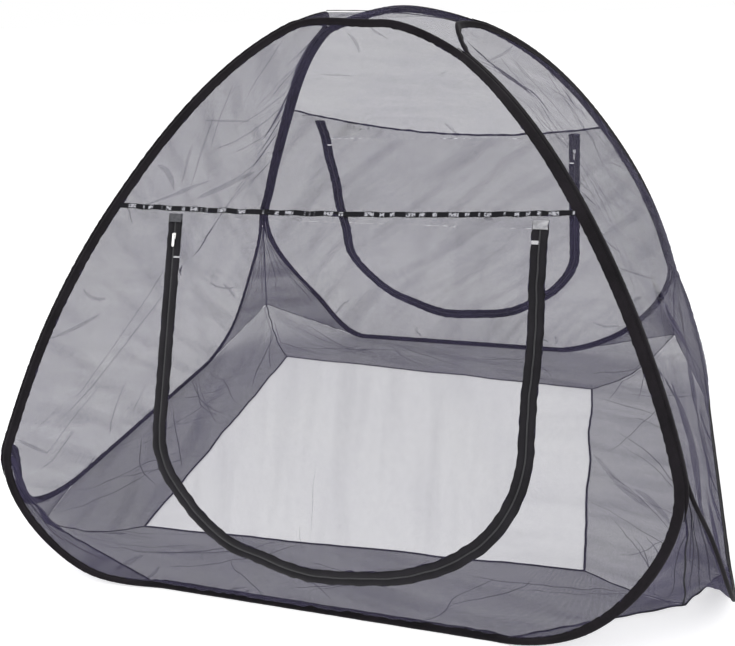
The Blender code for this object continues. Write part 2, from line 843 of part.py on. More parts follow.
def gusset_edges(corner, door_hoop, side_hoop):
    """Both hoops' outer edges from just under the split to near the ground, and the seam."""
    left = CORNERS[corner][0] < 0
    front = CORNERS[corner][1] < 0
    rib_end = ARC_STEPS + sum(RIB_SPANS)
    reach = SLEEVE_INSET - SLEEVE_BACK - NET_STANDOFF
    door = door_hoop.at(reach)
    side = side_hoop.at(reach)
    steps = range(rib_end + 2, rib_end + sum(CORNER_SPANS))
    on_door = [door[-i % len(door)] if left else door[i] for i in steps]
    on_side = [side[i] if front else side[-i % len(side)] for i in steps]
    tip = (on_door[0] + on_side[0]) / 2
    sx, sy, _, _, height, reach_y = CORNERS[corner]
    floor = np.array((sx * FLOOR_CORNER_X, sy * reach_y, height))
    count = len(on_door)
    seam = [tip + (floor - tip) * i / (count - 1) for i in range(count)]
    return on_door, seam, on_side


def make_gusset(corner, door_hoop, side_hoop, collection):
    """The folded net between two hoops below their rib, with its seam down to the floor."""
    on_door, seam, on_side = gusset_edges(corner, door_hoop, side_hoop)
    grid = []
    for a, s, b in zip(on_door, seam, on_side):
        grid.append([a, (a + s) / 2, s, (b + s) / 2, b])
    floor_z = NET_THICKNESS / 2 + 0.0004
    grid = [[np.array((p[0], p[1], max(p[2], floor_z))) for p in row] for row in grid]
    return sheet(f"{corner}_gusset", grid, "net", collection)


def make_skirt(name, ends, hoop, gussets, door, collection):
    """One side of the floor's net: from the opening's edge out to a hoop's foot and two corners."""
    floor_z = NET_THICKNESS / 2
    inner = [np.array((*OPENING_CORNERS[end], floor_z)) for end in ends]
    step = unit(inner[1] - inner[0]) * SKIRT_GAP
    inner = [inner[0] + step, inner[1] - step]
    middle = (inner[0] + inner[1]) / 2
    foot = hoop.rim[hoop.half]
    toward = unit(np.array((foot[0], foot[1], 0.0)))
    reach = np.dot(foot, toward) - SLEEVE_HALF - FOOT_CLEAR
    outer = []
    for end in ends:
        edges = gussets[end]
        corner = edges[1][-1]
        contact = edges[0 if door else 2][-1]
        pulled = corner + unit(middle - corner) * 2 * SKIRT_GAP
        touch = contact + toward * (reach - np.dot(contact, toward))
        touch[2] = floor_z
        outer.append((pulled, touch))
    stretches = ((outer[0][0], outer[0][1], 3), (outer[0][1], outer[1][1], 8))
    path = [a + (b - a) * i / steps for a, b, steps in stretches for i in range(steps)]
    path += [outer[1][1] + (outer[1][0] - outer[1][1]) * i / 3 for i in range(4)]
    grid = []
    for j, point in enumerate(path):
        base = inner[0] + (inner[1] - inner[0]) * j / (len(path) - 1)
        row = []
        for i in range(SKIRT_ROWS + 1):
            out = i / SKIRT_ROWS
            spot = base + (point - base) * out
            rise = max(i - 1, 0) / (SKIRT_ROWS - 1)
            spot[2] = floor_z + max(point[2] - floor_z, 0.0) * rise**2
            row.append(spot)
        grid.append(row)
    return sheet(f"{name}_floor_net", grid, "net", collection)


def make_binding(collection):
    """The flat tape that binds the edge of the floor's opening, lying on the net."""
    corners = [np.array((x, y)) for x, y in OPENING_CORNERS.values()]
    count = len(corners)
    rings = []
    for i, corner in enumerate(corners):
        before = unit(corners[i - 1] - corner)
        after = unit(corners[(i + 1) % count] - corner)
        out = -unit(before + after) * math.sqrt(2)
        low = NET_THICKNESS + GAP
        near = corner + out * 0.002
        far = corner + out * (0.002 + BINDING_WIDTH)
        ring = [(*near, low), (*far, low), (*far, low + 0.001), (*near, low + 0.001)]
        rings.append([np.array(p) for p in ring])
    return loft("floor_opening_binding", rings, "tape", collection, closed=True)


def main():
    clear_scene()
    collection = new_collection("screen_house")
    cutters = new_collection("cutters")
    cutters.hide_render = True

    door_hoops = {}
    for name in ("front", "back"):
        first = door_half(name, f"{name}_right")
        second = door_half(name, f"{name}_left")
        door_hoops[name] = Hoop(first, second)
    side_hoops = {}
    for name in ("left", "right"):
        first = side_half(name, f"front_{name}")
        second = side_half(name, f"back_{name}")
        side_hoops[name] = Hoop(first, second)

    for name, hoop in {**door_hoops, **side_hoops}.items():
        make_sleeve(f"{name}_sleeve", hoop, collection)
        make_wire(f"{name}_spring_wire", hoop, collection)
        make_ferrule(f"{name}_wire_ferrule", hoop, collection)

    for name, hoop in side_hoops.items():
        sheet(f"{name}_net", side_grid(Panel(hoop), 20, 8), "net", collection)
    for name, hoop in door_hoops.items():
        make_door(name, Panel(hoop), collection, cutters)

    loop, ring, centre = make_roof(door_hoops, side_hoops, collection)
    make_roof_tape(loop, ring, centre, collection)

    gussets = {}
    for corner in CORNERS:
        end_name, side_name = corner.split("_")
        pair = door_hoops[end_name], side_hoops[side_name]
        make_gusset(corner, *pair, collection)
        gussets[corner] = gusset_edges(corner, *pair)

    for name, ends in (
        ("front", ("front_left", "front_right")),
        ("back", ("back_left", "back_right")),
        ("left", ("front_left", "back_left")),
        ("right", ("front_right", "back_right")),
    ):
        door = name in door_hoops
        hoop = door_hoops[name] if door else side_hoops[name]
        make_skirt(name, ends, hoop, gussets, door, collection)
    make_binding(collection)


main()
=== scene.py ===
import math

import bmesh
import bpy
import numpy as np
from mathutils import Matrix, Vector


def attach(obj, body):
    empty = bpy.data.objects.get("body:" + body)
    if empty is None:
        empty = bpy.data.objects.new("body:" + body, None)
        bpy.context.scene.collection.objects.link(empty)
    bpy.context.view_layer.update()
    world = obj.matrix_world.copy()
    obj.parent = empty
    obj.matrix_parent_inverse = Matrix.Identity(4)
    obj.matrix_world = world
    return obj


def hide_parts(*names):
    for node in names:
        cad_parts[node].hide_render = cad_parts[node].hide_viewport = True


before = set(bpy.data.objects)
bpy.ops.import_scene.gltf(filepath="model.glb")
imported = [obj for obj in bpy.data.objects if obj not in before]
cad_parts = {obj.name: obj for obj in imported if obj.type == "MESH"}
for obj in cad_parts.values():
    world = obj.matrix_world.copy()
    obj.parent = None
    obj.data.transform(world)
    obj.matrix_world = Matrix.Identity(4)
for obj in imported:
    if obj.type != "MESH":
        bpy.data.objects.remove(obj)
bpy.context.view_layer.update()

# --- the frame's own dimensions, in metres ---

CORNERS = {
    "front_left": (-1, -1, 1.573, 0.112, 0.085, 0.860),
    "front_right": (1, -1, 1.461, 0.021, 0.040, 0.770),
    "back_left": (-1, 1, 1.536, -0.133, 0.165, 0.950),
    "back_right": (1, 1, 1.541, 0.053, 0.150, 0.930),
}
FLOOR_CORNER_X = 1.0
SEAM_TOP = (0.292, 0.149)
RIB_HIGH = (0.710, 0.657, 1.083)
RIB_MIDDLE = (0.865, 0.802, 0.796)
RIB_LOW = (0.955, 0.879, 0.542)
RIB_SLOPE = (0.40, 0.60)
CROWN = {"front": (0.120, 1.581), "back": (0.120, 1.613)}
APEX = {"left": (0.218, 1.605), "right": (0.218, 1.562)}
DOOR_CORNER = (0.763, 1.014, 0.117)
DOOR_FOOT = (0.500, 0.986)
SIDE_CORNER = (1.043, 0.889, 0.336)
SIDE_HEEL = (1.124, 0.797, 0.090)
SIDE_FOOT = (1.144, 0.514)
FOOT_Z = -0.0027
SLEEVE_INSET = 0.010
TUBE = 0.0066
FLANGE = 0.0205
OPENING = {
    "front_left": (-0.730, -0.715),
    "front_right": (0.720, -0.635),
    "back_right": (0.665, 0.605),
    "back_left": (-0.795, 0.690),
}
BAND_Z = 1.092
BAND_SAG = {"front": 0.012, "back": 0.074}
BAND_TILT = {"front": -0.007, "back": 0.045}
BAND_HALF_SPAN = 0.650
DOOR_HALF = 0.527
DOOR_MIDDLE = {"front": 0.045, "back": 0.024}
HINGE_Z = 1.0755
DOOR_STRAIGHT_Z = 0.533
DOOR_BOTTOM_Z = 0.152
ZIP_INSET = 0.0358
CHAIN_HALF = 0.0003
COIL_WIDTH = 0.0022
PARK_LENGTH = 0.120
STOP_LENGTH = 0.036
SLIDER_DROP = 0.060
SLIDER_REACH = 0.53  # the zip below its hinge is straight for as far as the slider travels
FLOOR_Z = 0.0016
FLOOR_NET_Z = 0.0018

FINE = 12
RIB_SPANS = (5 * FINE, 4 * FINE, 3 * FINE)
ARC_STEPS = 5 * FINE
DOOR_TURN = (4 * FINE, 4 * FINE)
SIDE_TURN = (3 * FINE, 3 * FINE, 2 * FINE)
FOOT_STEPS = 2 * FINE
RIB_END = ARC_STEPS + sum(RIB_SPANS)
TURN_END = RIB_END + sum(DOOR_TURN)
FIRST_RING = 0.06  # a fan of rings starts this share of the way out, and crowds towards its rim
RING_POWER = 0.9

scene = bpy.context.scene


# --- small helpers ---


def unit(v):
    v = np.asarray(v, float)
    return v / np.maximum(np.linalg.norm(v, axis=-1, keepdims=True), 1e-12)


def waves(points, scale, seed, count=7):
    """A smooth seeded field from -1 to 1 over points: a sum of plane waves of about one length."""
    rng = np.random.default_rng(seed)
    points = np.asarray(points, float)
    total = np.zeros(points.shape[:-1])
    for _ in range(count):
        way = unit(rng.normal(size=points.shape[-1])) * (2 * math.pi / scale)
        way = way * rng.uniform(0.6, 1.5)
        total += np.sin(points @ way + rng.uniform(0, 2 * math.pi))
    return total / math.sqrt(count / 2) / 2


def wobble(length, scale, seed, count=5):
    """A smooth seeded field along a line, given distances along it."""
    return waves(np.asarray(length, float)[..., None], scale, seed, count)


def smooth_run(points, start, end, spans):
    """A smooth curve through the points, leaving along start and arriving along end."""
    points = [np.array(p, float) for p in points]
    lengths = [np.linalg.norm(b - a) for a, b in zip(points, points[1:])]
    slopes = [unit(start)]
    for i in range(1, len(points) - 1):
        before = (points[i] - points[i - 1]) / lengths[i - 1]
        after = (points[i + 1] - points[i]) / lengths[i]
        share = lengths[i] / (lengths[i - 1] + lengths[i])
        slopes.append(before * share + after * (1 - share))
    slopes.append(unit(end))
    curve = []
    for i, steps in enumerate(spans):
        for step in range(steps):
            u = step / steps
            curve.append(
                (2 * u**3 - 3 * u**2 + 1) * points[i]
                + (u**3 - 2 * u**2 + u) * lengths[i] * slopes[i]
                + (3 * u**2 - 2 * u**3) * points[i + 1]
                + (u**3 - u**2) * lengths[i] * slopes[i + 1]
            )
    curve.append(points[-1])
    return curve


def mirrored(corner, point):
    sx, sy = CORNERS[corner][:2]
    return np.array((sx * point[0], sy * point[1], point[2]))


def rib(corner):
    sx, sy, top_z, drop = CORNERS[corner][:4]
    top = mirrored(corner, (*SEAM_TOP, top_z))
    x = RIB_LOW[0] + drop * RIB_SLOPE[0]
    y = RIB_LOW[1] + drop * RIB_SLOPE[1]
    low = mirrored(corner, (x, y, RIB_LOW[2] - drop))
    points = [top, mirrored(corner, RIB_HIGH), mirrored(corner, RIB_MIDDLE), low]
    start = np.array((sx * 0.62, sy * 0.70, -0.34))
    end = np.array((sx * 0.24, sy * 0.40, -0.88))
    return smooth_run(points, start, end, RIB_SPANS)


def door_half(name, corner):
    sx, sy = CORNERS[corner][:2]
    reach, height = CROWN[name]
    side = rib(corner)
    crown = (0, sy * reach, height)
    arc = smooth_run([crown, side[0]], (sx, 0, 0), side[1] - side[0], (ARC_STEPS,))
    lift = -0.65 * CORNERS[corner][3]
    bend = mirrored(corner, (DOOR_CORNER[0], DOOR_CORNER[1], DOOR_CORNER[2] + lift))
    foot = mirrored(corner, (*DOOR_FOOT, FOOT_Z))
    turn = smooth_run([side[-1], bend, foot], side[-1] - side[-2], (-sx, 0, 0), DOOR_TURN)
    middle = np.array((0.0, foot[1], FOOT_Z))
    run = smooth_run([foot, middle], (-sx, 0, 0), (-sx, 0, 0), (FOOT_STEPS,))
    return arc[:-1] + side[:-1] + turn[:-1] + run


def side_half(name, corner):
    sx, sy = CORNERS[corner][:2]
    reach, height = APEX[name]
    side = rib(corner)
    apex = (sx * reach, 0, height)
    arc = smooth_run([apex, side[0]], (0, sy, 0), side[1] - side[0], (ARC_STEPS,))
    foot = mirrored(corner, (*SIDE_FOOT, FOOT_Z))
    points = [side[-1], mirrored(corner, SIDE_CORNER), mirrored(corner, SIDE_HEEL), foot]
    turn = smooth_run(points, side[-1] - side[-2], (0, -sy, 0), SIDE_TURN)
    middle = np.array((foot[0], 0.0, FOOT_Z))
    run = smooth_run([foot, middle], (0, -sy, 0), (0, -sy, 0), (FOOT_STEPS,))
    return arc[:-1] + side[:-1] + turn[:-1] + run


class Hoop:
    """A closed hoop: rim points with the ways along it, into its panel and across it."""

    def __init__(self, first, second):
        self.half = len(first) - 1
        self.rim = np.array(first[:-1] + second[:0:-1])
        self.rim[:, 2] = np.maximum(self.rim[:, 2], FOOT_Z)
        mates = self.rim[-np.arange(len(self.rim))]
        self.along = unit(np.roll(self.rim, -2, 0) - np.roll(self.rim, 2, 0))
        lean = 3.0 * (mates - self.rim) + (self.rim.mean(0) - self.rim)
        lean -= self.along * (lean * self.along).sum(1, keepdims=True)
        self.inward = unit(lean)
        self.across = np.cross(self.along, self.inward)
        steps = np.linalg.norm(self.rim - np.roll(self.rim, 1, 0), axis=1)
        self.length = np.cumsum(steps) - steps[0]

    def at(self, inset):
        return self.rim + self.inward * inset


def lengths_of(path):
    """How far along a path each of its points lies."""
    steps = np.linalg.norm(np.diff(np.asarray(path), axis=0), axis=1)
    return np.concatenate([[0], np.cumsum(steps)])


def read_off(at, run, values):
    """A line's values at the given distances along it."""
    return np.stack([np.interp(at, run, values[:, k]) for k in range(3)], -1)


def even(path, count, closed=False):
    """Evenly spaced points along a path."""
    path = np.array(path, float)
    if closed:
        path = np.vstack([path, path[:1]])
    length = lengths_of(path)
    at = np.linspace(0, length[-1], count + closed)[:count]
    return read_off(at, length, path)


def oval(wide, high, sides):
    turns = np.linspace(0, math.tau, sides + 1)[:-1]
    return np.stack([wide * np.cos(turns), high * np.sin(turns)], 1)


class Panel:
    """The surface of level threads stretched between a hoop's two sides."""

    def __init__(self, hoop, axis, inset):
        self.axis = axis
        self.loop = hoop.at(inset)
        index = np.arange(hoop.half + 1)
        self.ends = [self.rising(self.loop[index]), self.rising(self.loop[-index])]

    @staticmethod
    def rising(edge):
        """The edge's points from its foot up, without any that don't rise."""
        order = np.argsort(edge[:, 2], kind="stable")
        edge = edge[order]
        keep = np.concatenate([[True], np.diff(edge[:, 2]) > 1e-6])
        return edge[keep]

    def on(self, q, z):
        """The point over (q, z), with q along the threads."""
        q = np.asarray(q, float)
        z = np.asarray(z, float)
        a, b = (read_off(z, edge[:, 2], edge) for edge in self.ends)
        width = b[..., self.axis] - a[..., self.axis]
        width = np.where(np.abs(width) < 1e-3, 1e-3, width)
        share = np.clip((q - a[..., self.axis]) / width, -0.08, 1.08)
        found = a + (b - a) * share[..., None]
        found[..., self.axis] = q
        found[..., 2] = z
        return found

    def flat(self, points):
        return points[..., [self.axis, 2]]

    def between(self, inner, outer, shares):
        """Rows of points on the surface from an inner line to an outer one, meeting both."""
        inner2, outer2 = self.flat(inner), self.flat(outer)
        off_in = inner - self.on(inner2[:, 0], inner2[:, 1])
        off_out = outer - self.on(outer2[:, 0], outer2[:, 1])
        rows = []
        for t in shares:
            p = inner2 + (outer2 - inner2) * t
            rows.append(self.on(p[:, 0], p[:, 1]) + off_in * (1 - t) ** 4 + off_out * t**4)
        return np.array(rows)


# --- meshes ---


def grid_faces(rows, columns, closed, start=0):
    faces = []
    for i in range(rows - 1):
        for j in range(columns if closed else columns - 1):
            k = (j + 1) % columns
            a = start + i * columns
            b = a + columns
            faces.append((a + j, a + k, b + k, b + j))
    return faces


def new_object(name, points, faces, materials, uvs=None, picks=None, smooth=True):
    mesh = bpy.data.meshes.new(name)
    mesh.from_pydata(np.asarray(points, float).tolist(), [], faces)
    obj = bpy.data.objects.new(name, mesh)
    scene.collection.objects.link(obj)
    for made in materials:
        mesh.materials.append(made)
    if picks is not None:
        mesh.polygons.foreach_set("material_index", picks)
    if uvs is not None:
        layer = mesh.uv_layers.new(name="cloth")
        corners = np.empty(len(mesh.loops), np.int32)
        mesh.loops.foreach_get("vertex_index", corners)
        layer.data.foreach_set("uv", np.asarray(uvs, np.float32)[corners].ravel())
    if smooth:
        mesh.shade_smooth()
    return obj


def plane_of(points):
    """The middle of the points, and the two ways that span the plane that fits them best."""
    centre = points.mean(0)
    some = points[:: max(1, len(points) // 2000)]
    _, _, ways = np.linalg.svd(some - centre, full_matrices=False)
    return centre, ways[:2].T


def plane_uv(points):
    """Metres across and down the plane that fits the points best."""
    centre, ways = plane_of(points)
    return (points - centre) @ ways


def placed(obj, nodes=(), body="house"):
    """Puts a piece on its body and has it stand for the CAD's nodes."""
    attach(obj, body)
    if nodes:
        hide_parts(*nodes)
    return obj


def tube(name, centre, u_way, v_way, outline, material, closed, swell=None, shift=None):
    """A profile of (u, v) points carried along a line. Its uv runs along and round, in metres."""
    outline = np.asarray(outline, float)
    rows = len(centre)
    ring = len(outline)
    scale = np.ones(rows) if swell is None else swell
    pts = (
        centre[:, None]
        + u_way[:, None] * (outline[None, :, 0] * scale[:, None])[..., None]
        + v_way[:, None] * (outline[None, :, 1] * scale[:, None])[..., None]
    )
    if shift is not None:
        pts = pts + shift
    run = lengths_of(centre)
    round_ = lengths_of(np.column_stack([outline, np.zeros(ring)]))
    uv = np.stack(np.meshgrid(run, round_, indexing="ij"), -1)
    faces = []
    for i in range(rows if closed else rows - 1):
        a = i * ring
        b = (i + 1) % rows * ring
        for j in range(ring):
            k = (j + 1) % ring
            faces.append((a + j, a + k, b + k, b + j))
    if not closed:
        faces.append(tuple(range(ring)))
        faces.append(tuple(range(rows * ring - 1, rows * ring - ring - 1, -1)))
    return new_object(name, pts.reshape(-1, 3), faces, [material], uv.reshape(-1, 2))


# --- materials ---


class Shade:
    """A few shorthands for building one material's nodes."""

    def __init__(self, name):
        self.material = bpy.data.materials.new(name)
        self.material.use_nodes = True
        self.tree = self.material.node_tree
        self.shader = self.tree.nodes["Principled BSDF"]

    def node(self, kind, inputs=None, **settings):
        made = self.tree.nodes.new(kind)
        for key, value in settings.items():
            setattr(made, key, value)
        for key, value in (inputs or {}).items():
            if isinstance(value, bpy.types.NodeSocket):
                self.tree.links.new(value, made.inputs[key])
            else:
                made.inputs[key].default_value = value
        return made

    def maths(self, operation, a, b=0.0, clamp=False):
        settings = {"operation": operation, "use_clamp": clamp}
        return self.node("ShaderNodeMath", {0: a, 1: b}, **settings).outputs[0]

    def spread(self, value, low, high, out_low, out_high):
        inputs = {"Value": value, "From Min": low, "From Max": high}
        inputs.update({"To Min": out_low, "To Max": out_high})
        return self.node("ShaderNodeMapRange", inputs).outputs[0]

    def places(self):
        """Metres along and across the cloth, and the place on the object."""
        where = self.node("ShaderNodeTexCoord")
        return where.outputs["UV"], where.outputs["Object"]

    def wave(self, vector, scale, way, distortion, more=None):
        inputs = {"Vector": vector, "Scale": scale, "Distortion": distortion, **(more or {})}
        settings = {"wave_type": "BANDS", "bands_direction": way}
        return self.node("ShaderNodeTexWave", inputs, **settings).outputs["Fac"]

    def noise(self, vector, scale, detail=3.0, rough=0.55):
        inputs = {"Vector": vector, "Scale": scale, "Detail": detail, "Roughness": rough}
        return self.node("ShaderNodeTexNoise", inputs).outputs["Fac"]

    def ramp(self, value, stops):
        made = self.node("ShaderNodeValToRGB", {"Fac": value})
        made.color_ramp.elements[0].position = stops[0][0]
        made.color_ramp.elements[0].color = (*stops[0][1], 1.0)
        made.color_ramp.elements[1].position = stops[-1][0]
        made.color_ramp.elements[1].color = (*stops[-1][1], 1.0)
        for place, colour in stops[1:-1]:
            made.color_ramp.elements.new(place).color = (*colour, 1.0)
        return made.outputs["Color"]

    def set(self, **values):
        for key, value in values.items():
            socket = self.shader.inputs[key.replace("_", " ")]
            if isinstance(value, bpy.types.NodeSocket):
                self.tree.links.new(value, socket)
            else:
                socket.default_value = value

    def bump(self, height, strength, distance):
        inputs = {"Height": height, "Strength": strength, "Distance": distance}
        self.set(Normal=self.node("ShaderNodeBump", inputs).outputs["Normal"])


def net_material(name, colour, cover, thread=0.22, streak=0.05, turn=0.0, foot=0.0):
    """Fine knitted net: open cells between threads, which let most of what is behind through.

    Where the slack bunches the threads together in soft streaks the net is closer and darker,
    and foot is how much closer it is gathered near the ground.
    """
    s = Shade(name)
    uv, place = s.places()
    cells = s.node(
        "ShaderNodeTexVoronoi",
        {"Vector": uv, "Scale": 560.0, "Randomness": 0.35},
        voronoi_dimensions="2D",
        feature="DISTANCE_TO_EDGE",
    )
    threads = s.spread(cells.outputs["Distance"], 0.10, 0.22, 1.0, 0.0)
    clouds = s.noise(place, 5.0, 3.0)
    grain = s.noise(place, 60.0, 4.0)
    base = s.spread(clouds, 0.35, 0.65, cover - 0.012, cover + 0.014)
    base = s.maths("ADD", base, s.spread(grain, 0.3, 0.7, -0.012, 0.012))
    if foot:
        height = s.node("ShaderNodeSeparateXYZ", {"Vector": place}).outputs["Z"]
        base = s.maths("ADD", base, s.spread(height, 0.10, 1.20, foot, 0.0))
    turned = s.node("ShaderNodeMapping", {"Vector": uv, "Rotation": (0.0, 0.0, turn)}).outputs[0]
    pulled = s.node("ShaderNodeMapping", {"Vector": turned, "Scale": (1.0, 9.0, 1.0)}).outputs[0]
    bunches = s.noise(pulled, 1.3, 2.5, 0.5)
    base = s.maths("ADD", base, s.spread(bunches, 0.45, 0.75, -0.3 * streak, 2.2 * streak))
    knit = s.spread(threads, 0.0, 1.0, -thread * 0.75, thread)
    alpha = s.maths("ADD", base, knit, clamp=True)
    dark = tuple(c * 0.72 for c in colour)
    tint = s.maths("ADD", clouds, s.maths("MULTIPLY", grain, 0.15))
    tone = s.ramp(tint, [(0.35, dark), (0.75, colour)])
    s.set(Base_Color=tone, Alpha=alpha, Roughness=0.72, Specular_IOR_Level=0.25)
    s.bump(threads, 0.25, 0.0004)
    return s.material


def cloth_material(name, dark, light, weave=900.0, rough=0.8, shine=0.35):
    """Woven cloth: a twill of fine threads with lighter ridges."""
    s = Shade(name)
    uv, place = s.places()
    warp = s.wave(uv, weave / 6.2, "DIAGONAL", 0.4, {"Detail": 1.0, "Detail Scale": 2.0})
    weft = s.wave(uv, weave / 6.2, "Y", 0.3)
    twill = s.maths("MULTIPLY", warp, s.spread(weft, 0.0, 1.0, 0.6, 1.0))
    fuzz = s.noise(place, 85.0, 5.0, 0.65)
    patches = s.noise(place, 9.0, 3.0)
    mix = s.maths("ADD", s.maths("MULTIPLY", twill, 0.35), s.maths("MULTIPLY", fuzz, 0.65))
    mix = s.maths("ADD", mix, s.spread(patches, 0.3, 0.7, -0.10, 0.12))
    tone = s.ramp(mix, [(0.30, dark), (0.62, light)])
    s.set(Base_Color=tone, Roughness=s.spread(fuzz, 0.3, 0.7, rough - 0.1, rough + 0.1))
    s.set(Specular_IOR_Level=shine, Sheen_Weight=0.06, Sheen_Roughness=0.45)
    s.bump(mix, 0.35, 0.0006)
    return s.material


def ribbon_material(name, middle=0.0076):
    """A woven ribbon with irregular light and dark blocks along it and a dark edge."""
    s = Shade(name)
    uv, _ = s.places()
    parts = s.node("ShaderNodeSeparateXYZ", {"Vector": uv})
    along, across = parts.outputs["X"], parts.outputs["Y"]
    blocks = s.noise(s.node("ShaderNodeCombineXYZ", {"X": along}).outputs[0], 34.0, 1.0, 0.4)
    inner = s.node("ShaderNodeCombineXYZ", {"X": along, "Y": s.maths("MULTIPLY", across, 1.6)})
    marks = s.noise(inner.outputs[0], 120.0, 2.0, 0.6)
    light = s.spread(blocks, 0.50, 0.53, 0.0, 1.0)
    broken = s.spread(marks, 0.42, 0.52, 0.25, 1.0)
    off_middle = s.maths("ABSOLUTE", s.maths("SUBTRACT", across, middle))
    edge = s.spread(off_middle, 0.0050, 0.0066, 1.0, 0.12)
    band = s.maths("MULTIPLY", s.maths("MULTIPLY", light, broken), edge)
    ribs = s.wave(uv, 190.0, "X", 0.3)
    dark, grey, pale = (0.006, 0.006, 0.008), (0.07, 0.07, 0.08), (0.36, 0.36, 0.39)
    tone = s.ramp(band, [(0.0, dark), (0.5, grey), (1.0, pale)])
    s.set(Base_Color=tone, Roughness=s.spread(ribs, 0.0, 1.0, 0.7, 0.9), Specular_IOR_Level=0.15)
    s.bump(s.maths("ADD", ribs, s.maths("MULTIPLY", marks, 0.6)), 0.3, 0.0005)
    return s.material


def coil_material(name):
    """Black nylon with a ridge at each turn of the coil, each ridge painted lighter as a
    highlight.
    """
    s = Shade(name)
    uv, _ = s.places()
    teeth = s.wave(uv, 130.0, "X", 0.15)
    grime_and_glint = s.noise(uv, 60.0, 3.0)
    dark, light = (0.003, 0.003, 0.004), (0.05, 0.05, 0.055)
    # painted highlight: the colour lightens on each turn's crest where the noise is high
    tone = s.ramp(s.maths("MULTIPLY", teeth, grime_and_glint), [(0.0, dark), (0.6, light)])
    s.set(Base_Color=tone, Roughness=s.spread(grime_and_glint, 0.3, 0.7, 0.32, 0.5), Specular_IOR_Level=0.5)
    s.bump(teeth, 0.6, 0.0008)
    return s.material


def metal_material(name, colour, rough):
    """Worn metal, darker and rougher in patches."""
    s = Shade(name)
    _, place = s.places()
    wear = s.noise(place, 260.0, 5.0, 0.7)
    fine = s.noise(place, 1400.0, 2.0)
    dark = tuple(c * 0.6 for c in colour)
    tone = s.ramp(wear, [(0.3, dark), (0.55, colour)])
    dull = s.spread(wear, 0.3, 0.7, rough - 0.08, rough + 0.12)
    s.set(Base_Color=tone, Metallic=1.0, Roughness=dull)
    s.bump(fine, 0.15, 0.0002)
    return s.material


THREAD = (0.042, 0.036, 0.078)
NET = net_material("net", THREAD, 0.38, streak=0.03)
GABLE_NET = net_material("gable_net", THREAD, 0.35, streak=0.02)
WALL_NET = net_material("wall_net", THREAD, 0.52, streak=0.05, turn=-0.9)
SLANT_NET = net_material("slant_net", THREAD, 0.44, streak=0.05, turn=1.2, foot=0.22)
CORNER_NET = net_material("corner_net", THREAD, 0.62, streak=0.08, turn=1.5, foot=0.18)
FLOOR_NET = net_material("floor_net", THREAD, 0.59, streak=0.05, turn=0.2)
THIN_FLOOR_NET = net_material("thin_floor_net", THREAD, 0.38, streak=0.05, turn=1.3)
# folds of the net: a doubled layer, with a darker thread colour than the net that is painted shade
# in the crease
SHADED_FOLD = net_material("net_fold", (0.030, 0.026, 0.060), 0.50, 0.10)
SOFT_FOLD = net_material("net_soft_fold", THREAD, 0.22, 0.10, 0.04)
SEAM = cloth_material("seam_tape", (0.006, 0.006, 0.008), (0.026, 0.025, 0.031), shine=0.2)
SLEEVE = cloth_material("sleeve", (0.003, 0.0024, 0.0034), (0.0125, 0.01, 0.013), shine=0.12)
TAPE_DARK, TAPE_LIGHT = (0.0028, 0.0025, 0.0036), (0.014, 0.0125, 0.016)
TAPE = cloth_material("zip_tape", TAPE_DARK, TAPE_LIGHT, 1300.0, shine=0.2)
TAB = cloth_material("end_tab", (0.12, 0.12, 0.13), (0.42, 0.42, 0.44))
DARK_TAB = cloth_material("dark_end_tab", (0.015, 0.015, 0.018), (0.09, 0.09, 0.10))
BAND = ribbon_material("band_ribbon")
COIL = coil_material("zip_coil")
METAL = metal_material("slider_metal", (0.86, 0.85, 0.84), 0.26)
WIRE = metal_material("spring_wire", (0.45, 0.45, 0.47), 0.35)


# --- cloth ---


def settle(points, faces, held, slack, limit, frames=12):
    """The points of a sheet once it has buckled under its own slack, its held points fixed."""
    points = np.asarray(points, float)
    obj = new_object("settling", points, faces, [])
    group = obj.vertex_groups.new(name="held")
    group.add([int(i) for i in held], 1.0, "REPLACE")
    cloth = obj.modifiers.new("Cloth", "CLOTH")
    s = cloth.settings
    s.vertex_group_mass = "held"
    s.quality = 4
    s.mass = 0.05
    s.tension_stiffness = 8
    s.compression_stiffness = 8
    s.shear_stiffness = 3
    s.bending_stiffness = 0.02
    s.air_damping = 3
    s.shrink_min = -slack
    s.shrink_max = -slack
    s.effector_weights.gravity = 0.0
    cloth.collision_settings.use_collision = False
    cloth.point_cache.frame_start = 1
    cloth.point_cache.frame_end = frames
    for number in range(1, frames + 1):
        scene.frame_set(number)
    found = obj.evaluated_get(bpy.context.evaluated_depsgraph_get())
    moved = np.empty(len(points) * 3, np.float32)
    found.data.vertices.foreach_get("co", moved)
    moved = moved.reshape(-1, 3).astype(float)
    scene.frame_set(1)
    mesh = obj.data
    bpy.data.objects.remove(obj)
    bpy.data.meshes.remove(mesh)
    step = moved - points
    far = np.linalg.norm(step, axis=1, keepdims=True)
    step *= np.minimum(1.0, limit / np.maximum(far, 1e-9))
    return points + step


def finer(grid, down, across, closed):
    """The grid with each cell cut smoothly into down by across cells."""

    def along(values, times, wrap):
        count = len(values)
        if wrap:
            at = np.arange(count * times) / times
        else:
            at = np.linspace(0, count - 1, (count - 1) * times + 1)
        base = np.floor(at).astype(int)
        u = (at - base).reshape(-1, *[1] * (values.ndim - 1))

        def pick(index):
            return values[index % count] if wrap else values[np.clip(index, 0, count - 1)]

        a, b, c, d = pick(base - 1), pick(base), pick(base + 1), pick(base + 2)
        square = (2 * a - 5 * b + 4 * c - d) * u**2
        return 0.5 * (2 * b + (c - a) * u + square + (3 * b - a - 3 * c + d) * u**3)

    grid = along(grid, down, False)
    return np.swapaxes(along(np.swapaxes(grid, 0, 1), across, closed), 0, 1)


